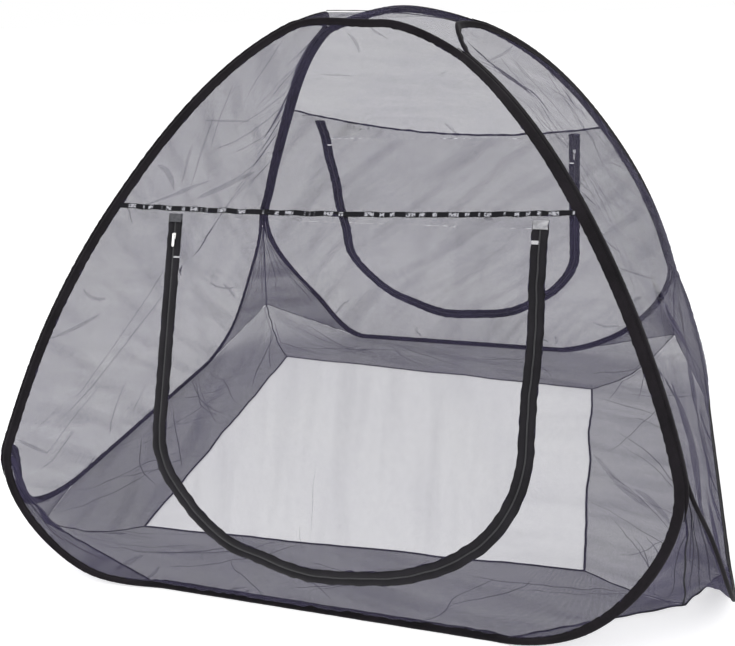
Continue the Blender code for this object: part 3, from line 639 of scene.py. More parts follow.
def normals_of(grid, closed):
    down = np.gradient(grid, axis=0)
    if closed:
        across = np.roll(grid, -1, 1) - np.roll(grid, 1, 1)
    else:
        across = np.gradient(grid, axis=1)
    found = np.cross(down, across)
    # a ring that has shrunk to a point takes its neighbour's way
    flat = np.linalg.norm(found, axis=-1) < 1e-12
    found = unit(found)
    mean = unit(found[~flat].mean(0))
    found[flat] = mean
    return found


def sample(grid, i, j, closed):
    """The grid's values at fractions of rows and columns."""
    rows, columns = grid.shape[:2]
    i = np.clip(i, 0, rows - 1.001)
    j = np.mod(j, columns) if closed else np.clip(j, 0, columns - 1.001)
    a, b = np.floor(i).astype(int), np.floor(j).astype(int)
    u, v = (i - a)[..., None], (j - b)[..., None]
    k = (b + 1) % columns if closed else b + 1
    near = grid[a, b] * (1 - u) + grid[a + 1, b] * u
    far = grid[a, k] * (1 - u) + grid[a + 1, k] * u
    return near * (1 - v) + far * v


def fold_strips(grid, closed, lines, start):
    """Doubled folds lying on a net: each line is (i, j, width), tapering to both ends."""
    points, faces = [], []
    normals = normals_of(grid, closed)
    for i, j, width in lines:
        i, j = np.asarray(i, float), np.asarray(j, float)
        path = sample(grid, i, j, closed)
        up = unit(sample(normals, i, j, closed))
        ahead = unit(np.gradient(path, axis=0))
        side = unit(np.cross(up, ahead))
        u = np.linspace(0, 1, len(path))
        half = (0.15 + np.sin(math.pi * u) ** 0.5) * width / 2
        first = start + len(points)
        for p, n, s, h in zip(path, up, side, half):
            points += [p + n * 0.0006 - s * h, p + n * 0.0012, p + n * 0.0006 + s * h]
        for k in range(len(path) - 1):
            a = first + 3 * k
            faces += [(a, a + 1, a + 4, a + 3), (a + 1, a + 2, a + 5, a + 4)]
    return points, faces


def net_object(name, node, grid, closed, folds, material, fold=None, **more):
    """A net from its grid of points and the folds lying on it."""
    points = grid.reshape(-1, 3)
    faces = grid_faces(*grid.shape[:2], closed)
    strips, strip_faces = fold_strips(grid, closed, folds, len(points))
    everything = np.vstack([points, strips])
    centre, ways = plane_of(points)
    picks = [0] * len(faces) + [1] * len(strip_faces)
    uvs = (everything - centre) @ ways
    materials = [material, fold or SOFT_FOLD]
    obj = new_object(name, everything, faces + strip_faces, materials, uvs, picks)
    placed(obj, [node], more.get("body", "house"))
    # the table wants the cut piece to be a fair share of its own rectangle
    return obj


def pucker(grid, closed, edge_row, depth, wavelength, height, seed):
    """Adds the small puckers that sewing leaves beside one edge row, fading into the net."""
    normals = normals_of(grid, closed)
    edge = grid[edge_row]
    run = lengths_of(edge)
    shape = np.sin(2 * math.pi * run / wavelength + 2.2 * wobble(run, wavelength * 5, seed))
    shape *= 0.55 + 0.6 * wobble(run, wavelength * 9, seed + 1)
    far = np.linalg.norm(grid - edge[None], axis=-1)
    fade = np.minimum((far / 0.006) * np.exp(-far / depth), 1.0)
    return grid + normals * (fade * shape[None] * height)[..., None]


def creases(grid, closed, lines, normals=None):
    """Raises narrow ridges: each line is (start, end, half width, height) in metres."""
    normals = normals_of(grid, closed) if normals is None else normals
    lift = np.zeros(grid.shape[:2])
    for start, end, half, height in lines:
        start, end = np.array(start, float), np.array(end, float)
        way = end - start
        t = ((grid - start) @ way) / (way @ way)
        nearest = start + np.clip(t, 0, 1)[..., None] * way
        far = np.linalg.norm(grid - nearest, axis=-1)
        taper = np.clip(np.minimum(t, 1 - t) * 5, 0, 1)
        lift += height * np.exp(-((far / half) ** 2)) * taper
    return grid + normals * lift[..., None]


# --- hoops ---


def sleeve_outline():
    turns = np.radians(np.linspace(38, 322, 11))
    tube_points = [(TUBE * math.cos(a), 0.0060 * math.sin(a)) for a in turns]
    under = [(0.0085, -0.0021), (0.0150, -0.0013), (FLANGE, -0.0009)]
    over = [(u, -v) for u, v in reversed(under)]
    return tube_points + under + over


def make_sleeve(name, hoop):
    """The cloth tube round the wire, with the flat edge that the net is sewn to."""
    outline = np.array(sleeve_outline())
    seed = sum(map(ord, name))
    run = hoop.length
    total = run[-1]
    near = np.minimum(run, total - run)
    calm = np.clip(near / 0.05, 0, 1)
    rows = len(run)
    shift = np.zeros((rows, len(outline), 3))
    lean = np.clip(outline[:, 0] / FLANGE, 0, 1) ** 1.5
    wave = 0.0013 * wobble(run, 0.060, seed) * calm
    ripple = 0.0010 * wobble(run, 0.035, seed + 1) * calm
    shift += hoop.across[:, None] * (wave[:, None] * lean)[..., None]
    shift += hoop.inward[:, None] * (ripple[:, None] * lean)[..., None]
    for k in range(11):
        dent = 0.00035 * wobble(run, 0.022, seed + 20 + k) * calm
        shift[:, k] += hoop.inward * (dent * outline[k, 0] / TUBE)[:, None]
        shift[:, k] += hoop.across * (dent * outline[k, 1] / TUBE)[:, None]
    swell = 1.0 + 0.03 * wobble(run, 0.25, seed + 3) * calm
    centre = hoop.at(SLEEVE_INSET)
    ways = hoop.inward, hoop.across
    made = tube(f"{name}_hoop_sleeve", centre, *ways, outline, SLEEVE, True, swell, shift)
    placed(made, [f"{name}_sleeve"])


def make_rib_binding(corner, hoop, left):
    """The narrow binding that joins the two sleeves sewn along one rib."""
    index = np.arange(ARC_STEPS - FINE, RIB_END + FINE) * (-1 if left else 1)
    centre = hoop.rim[index]
    run = lengths_of(centre)
    swell = 1.0 + 0.14 * wobble(run, 0.030, 40 + len(corner))
    swell *= np.clip(np.minimum(run, run[-1] - run) / 0.05, 0.25, 1.0)
    ways = hoop.inward[index], hoop.across[index]
    outline = oval(0.0050, 0.0044, 8)
    made = tube(f"{corner}_rib_binding", centre, *ways, outline, SLEEVE, False, swell)
    placed(made)


# --- nets of the walls ---

NET_INSET = SLEEVE_INSET + FLANGE - 0.004


def fan_grid(panel, outline, centre, rows):
    """Rings of points on a panel, from round its middle out to an outline."""
    middle = panel.on(*(np.full(len(outline), value) for value in centre))
    shares = FIRST_RING + (1 - FIRST_RING) * np.linspace(0, 1, rows) ** RING_POWER
    return panel.between(middle, outline, shares)


def loose(grid, closed, slack, seed, held_rows, limit, start=0.0012):
    """The grid after its net has buckled a little, with the given rows held."""
    rows, columns = grid.shape[:2]
    normals = normals_of(grid, closed)
    edge = np.zeros(rows)
    for row in held_rows:
        edge[row] = 1.0
    free = (1 - edge)[:, None]
    push = start * waves(grid, 0.16, seed) + start * 0.6 * waves(grid, 0.07, seed + 1)
    grid = grid + normals * (push * free)[..., None]
    faces = grid_faces(rows, columns, closed)
    held = [row % rows * columns + j for row in held_rows for j in range(columns)]
    if not closed:
        held += [i * columns + j for i in range(rows) for j in (0, columns - 1)]
    if closed and 0 not in held_rows:
        faces.append(tuple(range(columns)))
    moved = settle(grid.reshape(-1, 3), faces, held, slack, limit)
    return moved.reshape(grid.shape)


def ring_lines(rows, columns, rng, count, width, outer=(0.55, 0.97), reach_of=(0.12, 0.4)):
    """Folds that run in from the rim of a fan of rings, leaning to one side."""
    lines = []
    for _ in range(count):
        j = rng.uniform(0, columns)
        top = rng.uniform(*outer) * rows
        reach = rng.uniform(*reach_of) * rows
        lean = rng.uniform(-0.5, 0.5) * columns * 0.03
        u = np.linspace(0, 1, 12)
        bend = rng.uniform(-1, 1) * 0.003 * columns
        across = j + lean * u + bend * np.sin(math.pi * u)
        lines.append((top - reach * u, across, rng.uniform(*width)))
    return lines


# Long folds of the side walls, where the sprung ribs pull the net: (y, z) to (y, z), and the sag.
WALL_FOLDS = {
    "left": (
        ((0.40, 1.36), (0.02, 1.24), 0.03),
        ((0.47, 1.28), (-0.08, 1.17), 0.04),
        ((0.53, 1.20), (0.10, 1.12), 0.03),
        ((0.60, 1.10), (0.22, 0.98), 0.03),
        ((0.22, 1.47), (0.10, 1.28), 0.01),
        ((-0.62, 0.42), (-0.15, 0.72), 0.02),
        ((-0.70, 0.36), (-0.10, 0.62), 0.02),
    ),
    "right": (
        ((-0.06, 1.47), (-0.50, 0.80), -0.02),
        ((-0.02, 1.46), (-0.36, 0.84), -0.02),
        ((0.03, 1.45), (-0.20, 0.96), -0.02),
        ((0.20, 1.34), (0.42, 0.90), -0.02),
    ),
}


def ring_place(grid, axis, q, z):
    """Where the points (q, z) lie in a fan of rings, as rows and columns."""
    rows = len(grid)
    centre = grid[0].mean(0)[[axis, 2]]
    rim = grid[-1][:, [axis, 2]] - centre
    spin = np.unwrap(np.arctan2(rim[:, 1], rim[:, 0]))
    order = np.argsort(spin)
    point = np.stack([q, z], 1) - centre
    turn = np.arctan2(point[:, 1], point[:, 0])
    turn = spin.min() + np.mod(turn - spin.min(), math.tau)
    columns = np.interp(turn, spin[order], order)
    far = np.interp(turn, spin[order], np.linalg.norm(rim, axis=1)[order])
    share = np.clip(np.linalg.norm(point, axis=1) / far, FIRST_RING + 0.01, 0.97)
    ring = ((share - FIRST_RING) / (1 - FIRST_RING)) ** (1 / RING_POWER)
    return ring * (rows - 1), columns


def make_side_net(name, hoop):
    """A side wall: a fan of net with its long folds and the short ones along its rim."""
    panel = Panel(hoop, 1, NET_INSET)
    outline = even(panel.loop, 240, True)
    seed = 11 if name == "left" else 23
    grid = fan_grid(panel, outline, (0.0, 0.70), 15)
    grid = loose(grid, True, 0.012, seed, [-1], 0.022)
    grid = finer(grid, 3, 2, True)
    grid = pucker(grid, True, -1, 0.050, 0.042, 0.0030, seed)
    rng = np.random.default_rng(seed)
    folds = ring_lines(*grid.shape[:2], rng, 16, (0.006, 0.018), (0.75, 0.98), (0.15, 0.4))
    for start, end, sag in WALL_FOLDS[name]:
        t = np.linspace(0, 1, 24)
        y = start[0] + (end[0] - start[0]) * t
        z = start[1] + (end[1] - start[1]) * t - sag * np.sin(math.pi * t)
        folds.append((*ring_place(grid, 1, y, z), rng.uniform(0.006, 0.011)))
    net = WALL_NET if name == "left" else SLANT_NET
    made = net_object(f"{name}_wall_net", f"{name}_net", grid, True, folds, net)
    cap(made, grid.shape[1])


def cap(obj, columns):
    """Closes the small ring at the middle of a fan of rings."""
    shape = bmesh.new()
    shape.from_mesh(obj.data)
    shape.verts.ensure_lookup_table()
    face = shape.faces.new([shape.verts[j] for j in range(columns)])
    face.smooth = True
    shape.normal_update()
    layer = shape.loops.layers.uv.active
    for loop in face.loops:
        other = next(x for x in loop.vert.link_loops if x.face is not face)
        loop[layer].uv = other[layer].uv
    shape.to_mesh(obj.data)
    shape.free()


def band_height(name, x):
    """The band sags in its middle and hangs a little lower at one end."""
    share = np.asarray(x) / BAND_HALF_SPAN
    return BAND_Z + BAND_SAG[name] * share**2 - BAND_TILT[name] * share


def band_line(name, panel, count):
    """The band's middle from its left end to its right end, on the panel."""
    ends = []
    for edge in panel.ends:
        gap = edge[:, 2] - band_height(name, edge[:, 0])
        near = np.argmin(np.where(edge[:, 2] > 0.9, np.abs(gap), 9.0))
        ends.append(edge[near])
    low, high = sorted(end[0] for end in ends)
    x = np.linspace(low, high, count)
    return panel.on(x, band_height(name, x))


def split_loop(panel, name):
    """The hoop's own outline in two parts: over the band, and under it, both from -x to +x."""
    loop = panel.loop
    low, high = band_line(name, panel, 2)
    count = len(loop)
    a = int(np.argmin(np.linalg.norm(loop - low, axis=1)))
    b = int(np.argmin(np.linalg.norm(loop - high, axis=1)))
    forward = loop[np.arange(a, a + (b - a) % count + 1) % count]
    backward = loop[np.arange(a, a - (a - b) % count - 1, -1) % count]
    lower, upper = sorted((forward, backward), key=lambda part: part[:, 2].mean())
    return tuple(np.vstack([low, part[1:-1], high]) for part in (upper, lower))


# --- the zip's line ---


class DoorLine:
    """The line of a door's zip, from the slider's end down and round to the stop's end."""

    def __init__(self, name, hoop):
        outward = -1 if name == "front" else 1
        panel = self.panel = Panel(hoop, 0, ZIP_INSET)
        start = DOOR_HALF * outward
        middle = DOOR_MIDDLE[name]
        high, low = (
            [panel.on(x, z) for x in (middle + start, middle - start)]
            for z in (HINGE_Z, DOOR_STRAIGHT_Z)
        )
        turn = np.linspace(0, math.pi, 120)[1:-1]
        x = middle + start * np.cos(turn)
        z = DOOR_STRAIGHT_Z - (DOOR_STRAIGHT_Z - DOOR_BOTTOM_Z) * np.sin(turn)
        u = np.linspace(0, 1, 60)[:, None]
        under_band = [band_height(name, p[0]) - 0.0125 for p in high]
        top = [panel.on(p[0], max(z, p[2] + 0.001)) for p, z in zip(high, under_band)]
        self.lead, self.tail = (np.linalg.norm(a - b) for a, b in zip(top, high))
        down = top[0] + (high[0] - top[0]) * u[::6]
        down = np.vstack([down[:-1], high[0] + (low[0] - high[0]) * u])
        up = low[1] + (high[1] - low[1]) * u
        up = np.vstack([up[:-1], high[1] + (top[1] - high[1]) * u[::6]])
        path = np.vstack([down, panel.on(x, z), up])
        self.points = even(path, 540)
        self.run = lengths_of(self.points)
        self.total = self.run[-1]
        self.along = unit(np.gradient(self.points, axis=0))
        above = panel.on(self.points[:, 0], self.points[:, 2] + 0.02)
        below = panel.on(self.points[:, 0], self.points[:, 2] - 0.02)
        slope = unit(above - below)
        off = np.stack([np.zeros(len(slope)), slope[:, 2], -slope[:, 1]], 1) * outward
        off -= self.along * (off * self.along).sum(1, keepdims=True)
        self.off = unit(off)
        self.out = np.cross(self.along, self.off)
        seed = 5 if name == "front" else 9
        near = np.clip((self.run - self.lead - SLIDER_REACH) / 0.10, 0, 1)
        calm = near * np.clip((self.total - self.tail - self.run) / 0.10, 0, 1)
        sway = 0.0042 * wobble(self.run, 0.40, seed) + 0.0008 * wobble(self.run, 0.09, seed + 1)
        lift = 0.0030 * wobble(self.run, 0.22, seed + 2)
        self.points = self.points + self.out * (sway * calm)[:, None]
        self.points = self.points + self.off * (lift * calm)[:, None]

    def beside(self, reach):
        """The line that runs beside the zip: outside it, or inside where reach is negative."""
        return self.points + self.out * reach

    def hinged(self, reach):
        """The line beside the zip, only as far up as the door's hinge."""
        return self.beside(reach)[self.slice(self.lead, self.total - self.tail)]

    def slice(self, start, end):
        """The indices of the stretch between two distances along the line."""
        return np.where((self.run >= start - 1e-9) & (self.run <= end + 1e-9))[0]


TAPE_NEAR = CHAIN_HALF + COIL_WIDTH - 0.0006
TAPE_REACH = 0.0200
REACH = TAPE_NEAR + TAPE_REACH


def make_tape(name, line, side, start, end, body, nodes, seed):
    """A woven tape beside the coil, its free edge a little wavy."""
    index = line.slice(start, end)
    run = line.run[index]
    over = [(TAPE_REACH, 0.0004), (0.010, 0.0006), (0.0, 0.0005)]
    outline = np.array([(u, -v) for u, v in reversed(over)] + over)
    outline[:, 0] = side * (TAPE_NEAR + outline[:, 0])
    outline = outline[::side]
    reach = np.abs(outline[:, 0]) / REACH
    wave = 0.0011 * wobble(run, 0.05, seed)
    curl = 0.0013 * wobble(run, 0.08, seed + 1)
    shift = line.out[index][:, None] * (wave[:, None] * reach**3)[..., None]
    shift = shift + line.off[index][:, None] * (curl[:, None] * reach**3)[..., None]
    path = line.points[index], line.out[index], line.off[index]
    placed(tube(name, *path, outline, TAPE, False, None, shift), nodes, body)


def make_coil(name, line, side, start, end, body, nodes):
    """One nylon coil: a bead whose turns stand up one after another."""
    pitch = 0.0032
    at = np.linspace(start, end, int((end - start) / pitch * 4))
    centre, out, off = (read_off(at, line.run, way) for way in (line.points, line.out, line.off))
    out, off = unit(out), unit(off)
    outline = oval(1.35 * COIL_WIDTH / 2, 0.0014, 6)[::side]
    swell = 0.92 + 0.12 * np.sin(2 * math.pi * at / pitch + (0 if side > 0 else math.pi))
    middle = centre + out * (side * COIL_WIDTH / 2)
    placed(tube(name, middle, out, off, outline, COIL, False, swell), nodes, body)


def make_tab(name, line, at_end, material, node):
    """A folded cloth tab over the top end of both tapes."""
    index = -1 if at_end else 0
    way = line.along[index] * (-1 if at_end else 1)
    out, off = line.out[index], line.off[index]
    base = line.points[index] + off * 0.0022
    rows, columns = 14, 22
    grid = np.zeros((rows, columns, 3))
    for i in range(rows):
        v = i / (rows - 1)
        for j in range(columns):
            u = 2 * j / (columns - 1) - 1
            spread = 0.0214 * (1 - 0.05 * v)
            drop = 0.001 + 0.025 * v
            puff = 0.0009 * math.cos(u * math.pi / 2) ** 0.5 if abs(u) < 1 else 0.0
            hem = 0.0006 * math.exp(-(((v - 0.86) / 0.05) ** 2))
            bend = -0.0018 * abs(u) ** 6
            ripple = 0.0004 * math.sin(9 * u + 3 * v) + 0.0003 * math.sin(17 * v + 4 * u)
            grid[i, j] = base + out * u * spread + way * drop + off * (puff + hem + bend + ripple)
    points = grid.reshape(-1, 3)
    faces = grid_faces(rows, columns, False)
    obj = new_object(name, points, faces, [material], plane_uv(points))
    solid = obj.modifiers.new("Cloth thickness", "SOLIDIFY")
    solid.thickness = 0.0007
    solid.offset = 1
    placed(obj, [node])


def make_band(name, panel):
    """The narrow ribbon from rib to rib over the door's top edge."""
    front = name == "front"
    count = 260
    line = band_line(name, panel, count)
    run = lengths_of(line)
    seed = 61 if front else 67
    calm = np.clip(np.minimum(run, run[-1] - run) / 0.05, 0, 1)
    line[:, 2] += 0.0016 * wobble(run, 0.11, seed) * calm
    low = panel.on(line[:, 0], line[:, 2] - 0.006)
    high = panel.on(line[:, 0], line[:, 2] + 0.006)
    up = unit(high - low)
    off = np.stack([np.zeros(count), up[:, 2], -up[:, 1]], 1) * (-1 if front else 1)
    half = 0.0076 if front else 0.0050
    under = [(-half, 0.0022), (-half / 2, 0.0020), (half / 2, 0.0020), (half, 0.0022)]
    over = [(half, 0.0030), (half / 2, 0.0034), (-half / 2, 0.0034), (-half, 0.0030)]
    outline = np.array(under + over)[:: 1 if front else -1]
    tilt = 0.0009 * wobble(run, 0.07, seed + 1)
    shift = off[:, None] * (tilt[:, None] * outline[:, 0] / half)[..., None]
    material = BAND if front else SEAM
    made = tube(f"{name}_door_band", line, up, off, outline, material, False, None, shift)
    # the weave's pattern lies across the ribbon, so its uv runs across and not round
    uv = made.data.uv_layers["cloth"].data
    for loop in made.data.loops:
        uv[loop.index].uv[1] = outline[loop.vertex_index % len(outline)][0] + half
    placed(made, [f"{name}_band_ribbon"])


# --- door ends ---


def loop_of(top, line_points, count_top, count_rest):
    """A closed loop: along a top line, and back round the rest."""
    first = even(top, count_top)
    rest = even(line_points, count_rest + 1)[1:-1]
    return np.vstack([first, rest])


def make_gable(name, panel, band, rim, seed, rng):
    """The net over the band."""
    outline = loop_of(band, rim[::-1], 70, 120)
    grid = fan_grid(panel, outline, (0.0, 1.30), 11)
    grid = loose(grid, True, 0.008, seed, [-1], 0.012)
    grid = finer(grid, 3, 2, True)
    grid = pucker(grid, True, -1, 0.035, 0.038, 0.0022, seed + 3)
    folds = ring_lines(*grid.shape[:2], rng, 4, (0.006, 0.014), (0.8, 0.98))
    made = net_object(f"{name}_gable_net", f"{name}_upper_net", grid, True, folds, GABLE_NET)
    cap(made, grid.shape[1])


def make_lower_wall(name, panel, line, band, rim, seed, rng):
    """The net under the band, round the door."""
    edge = line.hinged(REACH - 0.002)
    top = even(np.vstack([edge[-1], edge[0]]), 70)
    if name == "front":
        top, edge = top[::-1], edge[::-1]
    inner = loop_of(top, edge, 70, 190)
    outer = loop_of(band, rim[::-1], 70, 190)
    grid = panel.between(inner, outer, np.linspace(0, 1, 10))
    grid = loose(grid, True, 0.010, seed + 7, [0, -1], 0.012)
    grid = finer(grid, 3, 2, True)
    grid = pucker(grid, True, -1, 0.045, 0.040, 0.0026, seed + 4)
    grid = pucker(grid, True, 0, 0.020, 0.030, 0.0012, seed + 5)
    folds = ring_lines(*grid.shape[:2], rng, 9, (0.006, 0.014), (0.8, 0.98))
    net = NET if name == "front" else WALL_NET
    net_object(f"{name}_lower_wall_net", f"{name}_lower_net", grid, True, folds, net)


def make_flap(name, line, seed):
    """The door's own net, its threads from one side of the U to the other."""
    edge = line.hinged(-(REACH - 0.002))
    half = len(edge) // 2
    columns, rows = 61, 46
    a, b = even(edge[: half + 1], rows), even(edge[half:][::-1], rows)
    u = np.linspace(0, 1, columns)[:, None]
    grid = np.zeros((rows - 1, columns, 3))
    for i in range(rows - 1):
        x, z = (np.linspace(a[i, k], b[i, k], columns) for k in (0, 2))
        row = line.panel.on(x, z)
        grid[i] = row + (a[i] - row[0]) * (1 - u) ** 4 + (b[i] - row[-1]) * u**4
    grid = loose(grid, False, 0.008, seed + 9, [0, -1], 0.010)
    grid = finer(grid, 2, 2, False)
    rng = np.random.default_rng(seed + 2)
    u = np.linspace(0, 1, 10)
    folds = []
    for _ in range(3):
        j = rng.uniform(0.1, 0.9) * grid.shape[1]
        i = rng.uniform(0.05, 0.9) * grid.shape[0]
        down, across = i + rng.uniform(5, 16) * u, j + rng.uniform(-6, 6) * u
        folds.append((down, across, rng.uniform(0.0016, 0.0026)))
    net = NET if name == "front" else WALL_NET
    names = f"{name}_door_flap_net", f"{name}_door_net"
    net_object(*names, grid, False, folds, net, body=f"{name}_door")


def make_zip(name, line, seed):
    """Both halves of the zip. The inner one rides the door, apart from its two ends."""
    end = line.total
    low, high = line.lead + PARK_LENGTH, end - line.tail - STOP_LENGTH
    for half, part, side, start, stop, body in (
        ("outer", "", 1, 0, end, "house"),
        ("inner", "", -1, low, high, f"{name}_door"),
        ("inner", "_top", -1, 0, low - 0.001, "house"),
        ("inner", "_stop", -1, high + 0.001, end, "house"),
    ):
        stretch = line, side, start, stop, body
        tapes, coils = ([] if part else [f"{name}_{half}_zip_{kind}"] for kind in ("tape", "coil"))
        number = seed + (11 if half == "outer" else 12)
        make_tape(f"{name}_{half}_tape{part}", *stretch, tapes, number)
        make_coil(f"{name}_{half}_coil{part}", *stretch, coils)
    make_tab(f"{name}_slider_end_cover", line, False, DARK_TAB, f"{name}_slider_end_tab")
    make_tab(f"{name}_stop_end_cover", line, True, TAB, f"{name}_stop_end_tab")


def make_door_end(name, hoop):
    """All that fills a front or back hoop."""
    panel = Panel(hoop, 0, NET_INSET)
    line = DoorLine(name, hoop)
    upper, lower = split_loop(panel, name)
    band = band_line(name, panel, 200)
    seed = 31 if name == "front" else 47
    rng = np.random.default_rng(seed)
    make_gable(name, panel, band, upper, seed, rng)
    make_lower_wall(name, panel, line, band, lower, seed, rng)
    make_flap(name, line, seed)
    make_zip(name, line, seed)
    make_band(name, panel)
    make_slider_body(name, line)


def make_slider_body(name, line):
    """The cast slider: its post and the hood that the outer pull hangs from."""
    k = int(np.argmin(np.abs(line.run - line.lead - SLIDER_DROP)))
    origin, out, off, along = line.points[k], line.out[k], line.off[k], line.along[k]
    u = np.linspace(0, 1, 15)[:, None]
    arch = origin + off * (0.0030 + 0.0058 * np.sin(math.pi * u)) + along * (-0.0078 + 0.0125 * u)
    side = np.tile(out, (len(arch), 1))
    up = np.cross(unit(np.gradient(arch, axis=0)), side)
    outline = oval(0.0013, 0.0007, 10)
    hood = tube(f"{name}_slider_hood", arch, side, up, outline, METAL, False)
    placed(hood, body=f"{name}_slider")
    post = origin + off * np.linspace(-0.0030, 0.0030, 5)[:, None] - along * 0.0072
    ways = np.tile(out, (5, 1)), np.tile(along, (5, 1))
    stem = tube(f"{name}_slider_post", post, *ways, oval(0.0011, 0.0016, 8), METAL, False)
    placed(stem, body=f"{name}_slider")


# --- roof, corners and floor ---


def ribbon_on(name, path, up, width, thick, material, slot, nodes=(), seed=0, sway=0.0):
    """A narrow flat tape along a path, its width across the path and its face along up."""
    path = np.array(path, float)
    up = np.broadcast_to(np.array(up, float), path.shape)
    ahead = unit(np.gradient(path, axis=0))
    side = unit(np.cross(up, ahead))
    face = np.cross(ahead, side)
    run = lengths_of(path)
    if sway:
        path = path + side * (sway * wobble(run, 0.09, seed))[:, None]
    h, t = width / 2, thick
    outline = [(-h, 0.0), (h, 0.0), (h, t * 0.6), (h * 0.4, t), (-h * 0.4, t), (-h, t * 0.6)]
    swell = 1.0 + 0.12 * wobble(run, 0.05, seed + 1)
    placed(tube(name, path, side, face, outline, material, False, swell), nodes)


def make_roof(door_hoops, side_hoops):
    """The small net between the hoops' tops, with the tape over its middle seam."""
    reach = SLEEVE_INSET - TUBE * 0.6
    i = np.arange(ARC_STEPS - FINE // 2)
    loop = []
    for side_name, end_name in (
        ("right", "front"),
        ("right", "back"),
        ("left", "back"),
        ("left", "front"),
    ):
        right, front = side_name == "right", end_name == "front"
        on_door = door_hoops[end_name].at(reach)[i if right else -i]
        on_side = side_hoops[side_name].at(reach)[i if front else -i]
        tip = (on_door[-1] + on_side[-1]) / 2
        path = np.vstack([on_door[:-1], tip, on_side[:-1][::-1]])
        loop.append(path[:-1] if right == front else path[:0:-1])
    loop = np.vstack(loop)
    loop = even(loop, 160, True)
    centre = loop.mean(0)
    peak = loop[:, 2].max() - 0.012
    rows = []
    for share in np.linspace(0.05, 1, 14):
        row = centre + (loop - centre) * share
        row[:, 2] = peak + (loop[:, 2] - peak) * share**1.6
        rows.append(row)
    grid = np.array(rows)
    grid = loose(grid, True, 0.010, 77, [-1], 0.008)
    grid = finer(grid, 2, 2, True)
    rng = np.random.default_rng(78)
    folds = ring_lines(*grid.shape[:2], rng, 10, (0.0018, 0.003))
    made = net_object("roof_patch_net", "roof_net", grid, True, folds, NET, SHADED_FOLD)
    cap(made, grid.shape[1])
    (left_x, left_z), (right_x, right_z) = APEX["left"], APEX["right"]
    x = np.linspace(-left_x + 0.004, right_x - 0.004, 60)
    share = (x + left_x) / (2 * left_x)
    z = left_z * (1 - share) + right_z * share + 0.010 * np.sin(math.pi * share)
    line = np.stack([x, 0.004 * np.sin(9 * x), z], 1)
    kind = SLEEVE, "sleeve_cloth"
    ribbon_on("roof_middle_tape", line, (0, 0, 1), 0.017, 0.002, *kind, ["roof_seam_tape"], 79)


def gusset_lines(corner, door_hoop, side_hoop):
    """A gusset's line on the door's hoop, its tip, its floor corner and its line on the side's."""
    sx, sy, _, _, height, reach_y = CORNERS[corner]
    door, side = (hoop.at(SLEEVE_INSET - TUBE * 0.5) for hoop in (door_hoop, side_hoop))
    steps = np.arange(RIB_END + FINE // 2, TURN_END)
    on_door = door[steps * sx]
    on_side = side[steps * -sy]
    floor = np.array((sx * FLOOR_CORNER_X, sy * reach_y, height))
    tip = (on_door[0] + on_side[0]) / 2
    return even(on_door, 40), tip, floor, even(on_side, 40)


def make_gusset(corner, door_hoop, side_hoop):
    """The gathered net between two hoops below their rib: folds fan out from where they part."""
    on_door, tip, floor, on_side = gusset_lines(corner, door_hoop, side_hoop)
    rows = len(on_door)
    u = np.linspace(0, 1, rows)
    seam = tip + (floor - tip) * u[:, None]
    seed = 90 + 3 * len(corner) + (corner[0] == "b")
    columns = 25
    grid = np.zeros((rows, columns, 3))
    out = unit(np.array((*CORNERS[corner][:2], 0.0)))
    for j in range(columns):
        v = 2 * j / (columns - 1)
        a, b = (on_door, seam) if v <= 1 else (seam, on_side)
        share = v if v <= 1 else v - 1
        slump = 0.010 * math.sin(math.pi * share) * np.sin(math.pi * u)
        grid[:, j] = a + (b - a) * share - out * slump[:, None]
    grid[..., 2] = np.maximum(grid[..., 2], FLOOR_Z)
    grid = finer(grid, 2, 4, False)
    rows, columns = grid.shape[:2]
    normals = normals_of(grid, False)
    i = np.linspace(0, 1, rows)[:, None]
    j = np.linspace(0, 1, columns)[None]
    rng = np.random.default_rng(seed)
    lift = np.zeros((rows, columns))
    for _ in range(15):
        at = rng.uniform(0.04, 0.96)
        lean = rng.uniform(-0.10, 0.10)
        narrow = rng.uniform(0.012, 0.026)
        reach = rng.uniform(0.45, 1.05)
        ridge = np.exp(-(((j - at - lean * i) / narrow) ** 2))
        ridge = rng.choice((-1, 1)) * ridge * np.clip(1 - i / reach, 0, 1) ** 0.6
        lift += ridge * rng.uniform(0.3, 1.0)
    size = 0.0085 * np.clip(i * 6, 0.15, 1) * np.clip((1 - i) * 6, 0, 1)
    size = size * np.clip(np.minimum(j, 1 - j) * 9, 0, 1)
    grid = grid + normals * (lift * size)[..., None]
    fade = np.clip(np.minimum(i, 1 - i) * 8, 0, 1) * np.clip(np.minimum(j, 1 - j) * 8, 0, 1)
    grid = grid + normals * (0.004 * waves(grid, 0.12, seed) * fade)[..., None]
    grid[..., 2] = np.maximum(grid[..., 2], FLOOR_Z)
    folds = []
    t = np.linspace(0, 1, 16)
    for _ in range(9):
        at = rng.uniform(0.06, 0.94)
        end = np.clip(at + rng.uniform(-0.14, 0.14), 0.03, 0.97)
        reach = rng.uniform(0.5, 0.97)
        sway = 0.02 * np.sin(t * rng.uniform(4, 9))
        across = (at + (end - at) * t + sway * t) * (columns - 1)
        folds.append((t * reach * (rows - 1), across, rng.uniform(0.0026, 0.0046)))
    names = f"{corner}_corner_net", f"{corner}_gusset"
    net_object(*names, grid, False, folds, CORNER_NET, SHADED_FOLD, held="gathered")
    seam, face = grid[:, columns // 2], normals[:, columns // 2]
    face = face * np.sign((face @ out).mean())
    kind = SEAM, "sleeve_cloth", ()
    seam = seam + face * 0.0006
    ribbon_on(f"{corner}_corner_seam", seam, face, 0.0052, 0.0011, *kind, seed, 0.0012)
    hem, hem_up = even(grid[-1], 60), unit(out + np.array((0, 0, 0.8)))
    ribbon_on(f"{corner}_corner_hem", hem, hem_up, 0.0055, 0.0012, *kind, seed + 1, 0.0020)


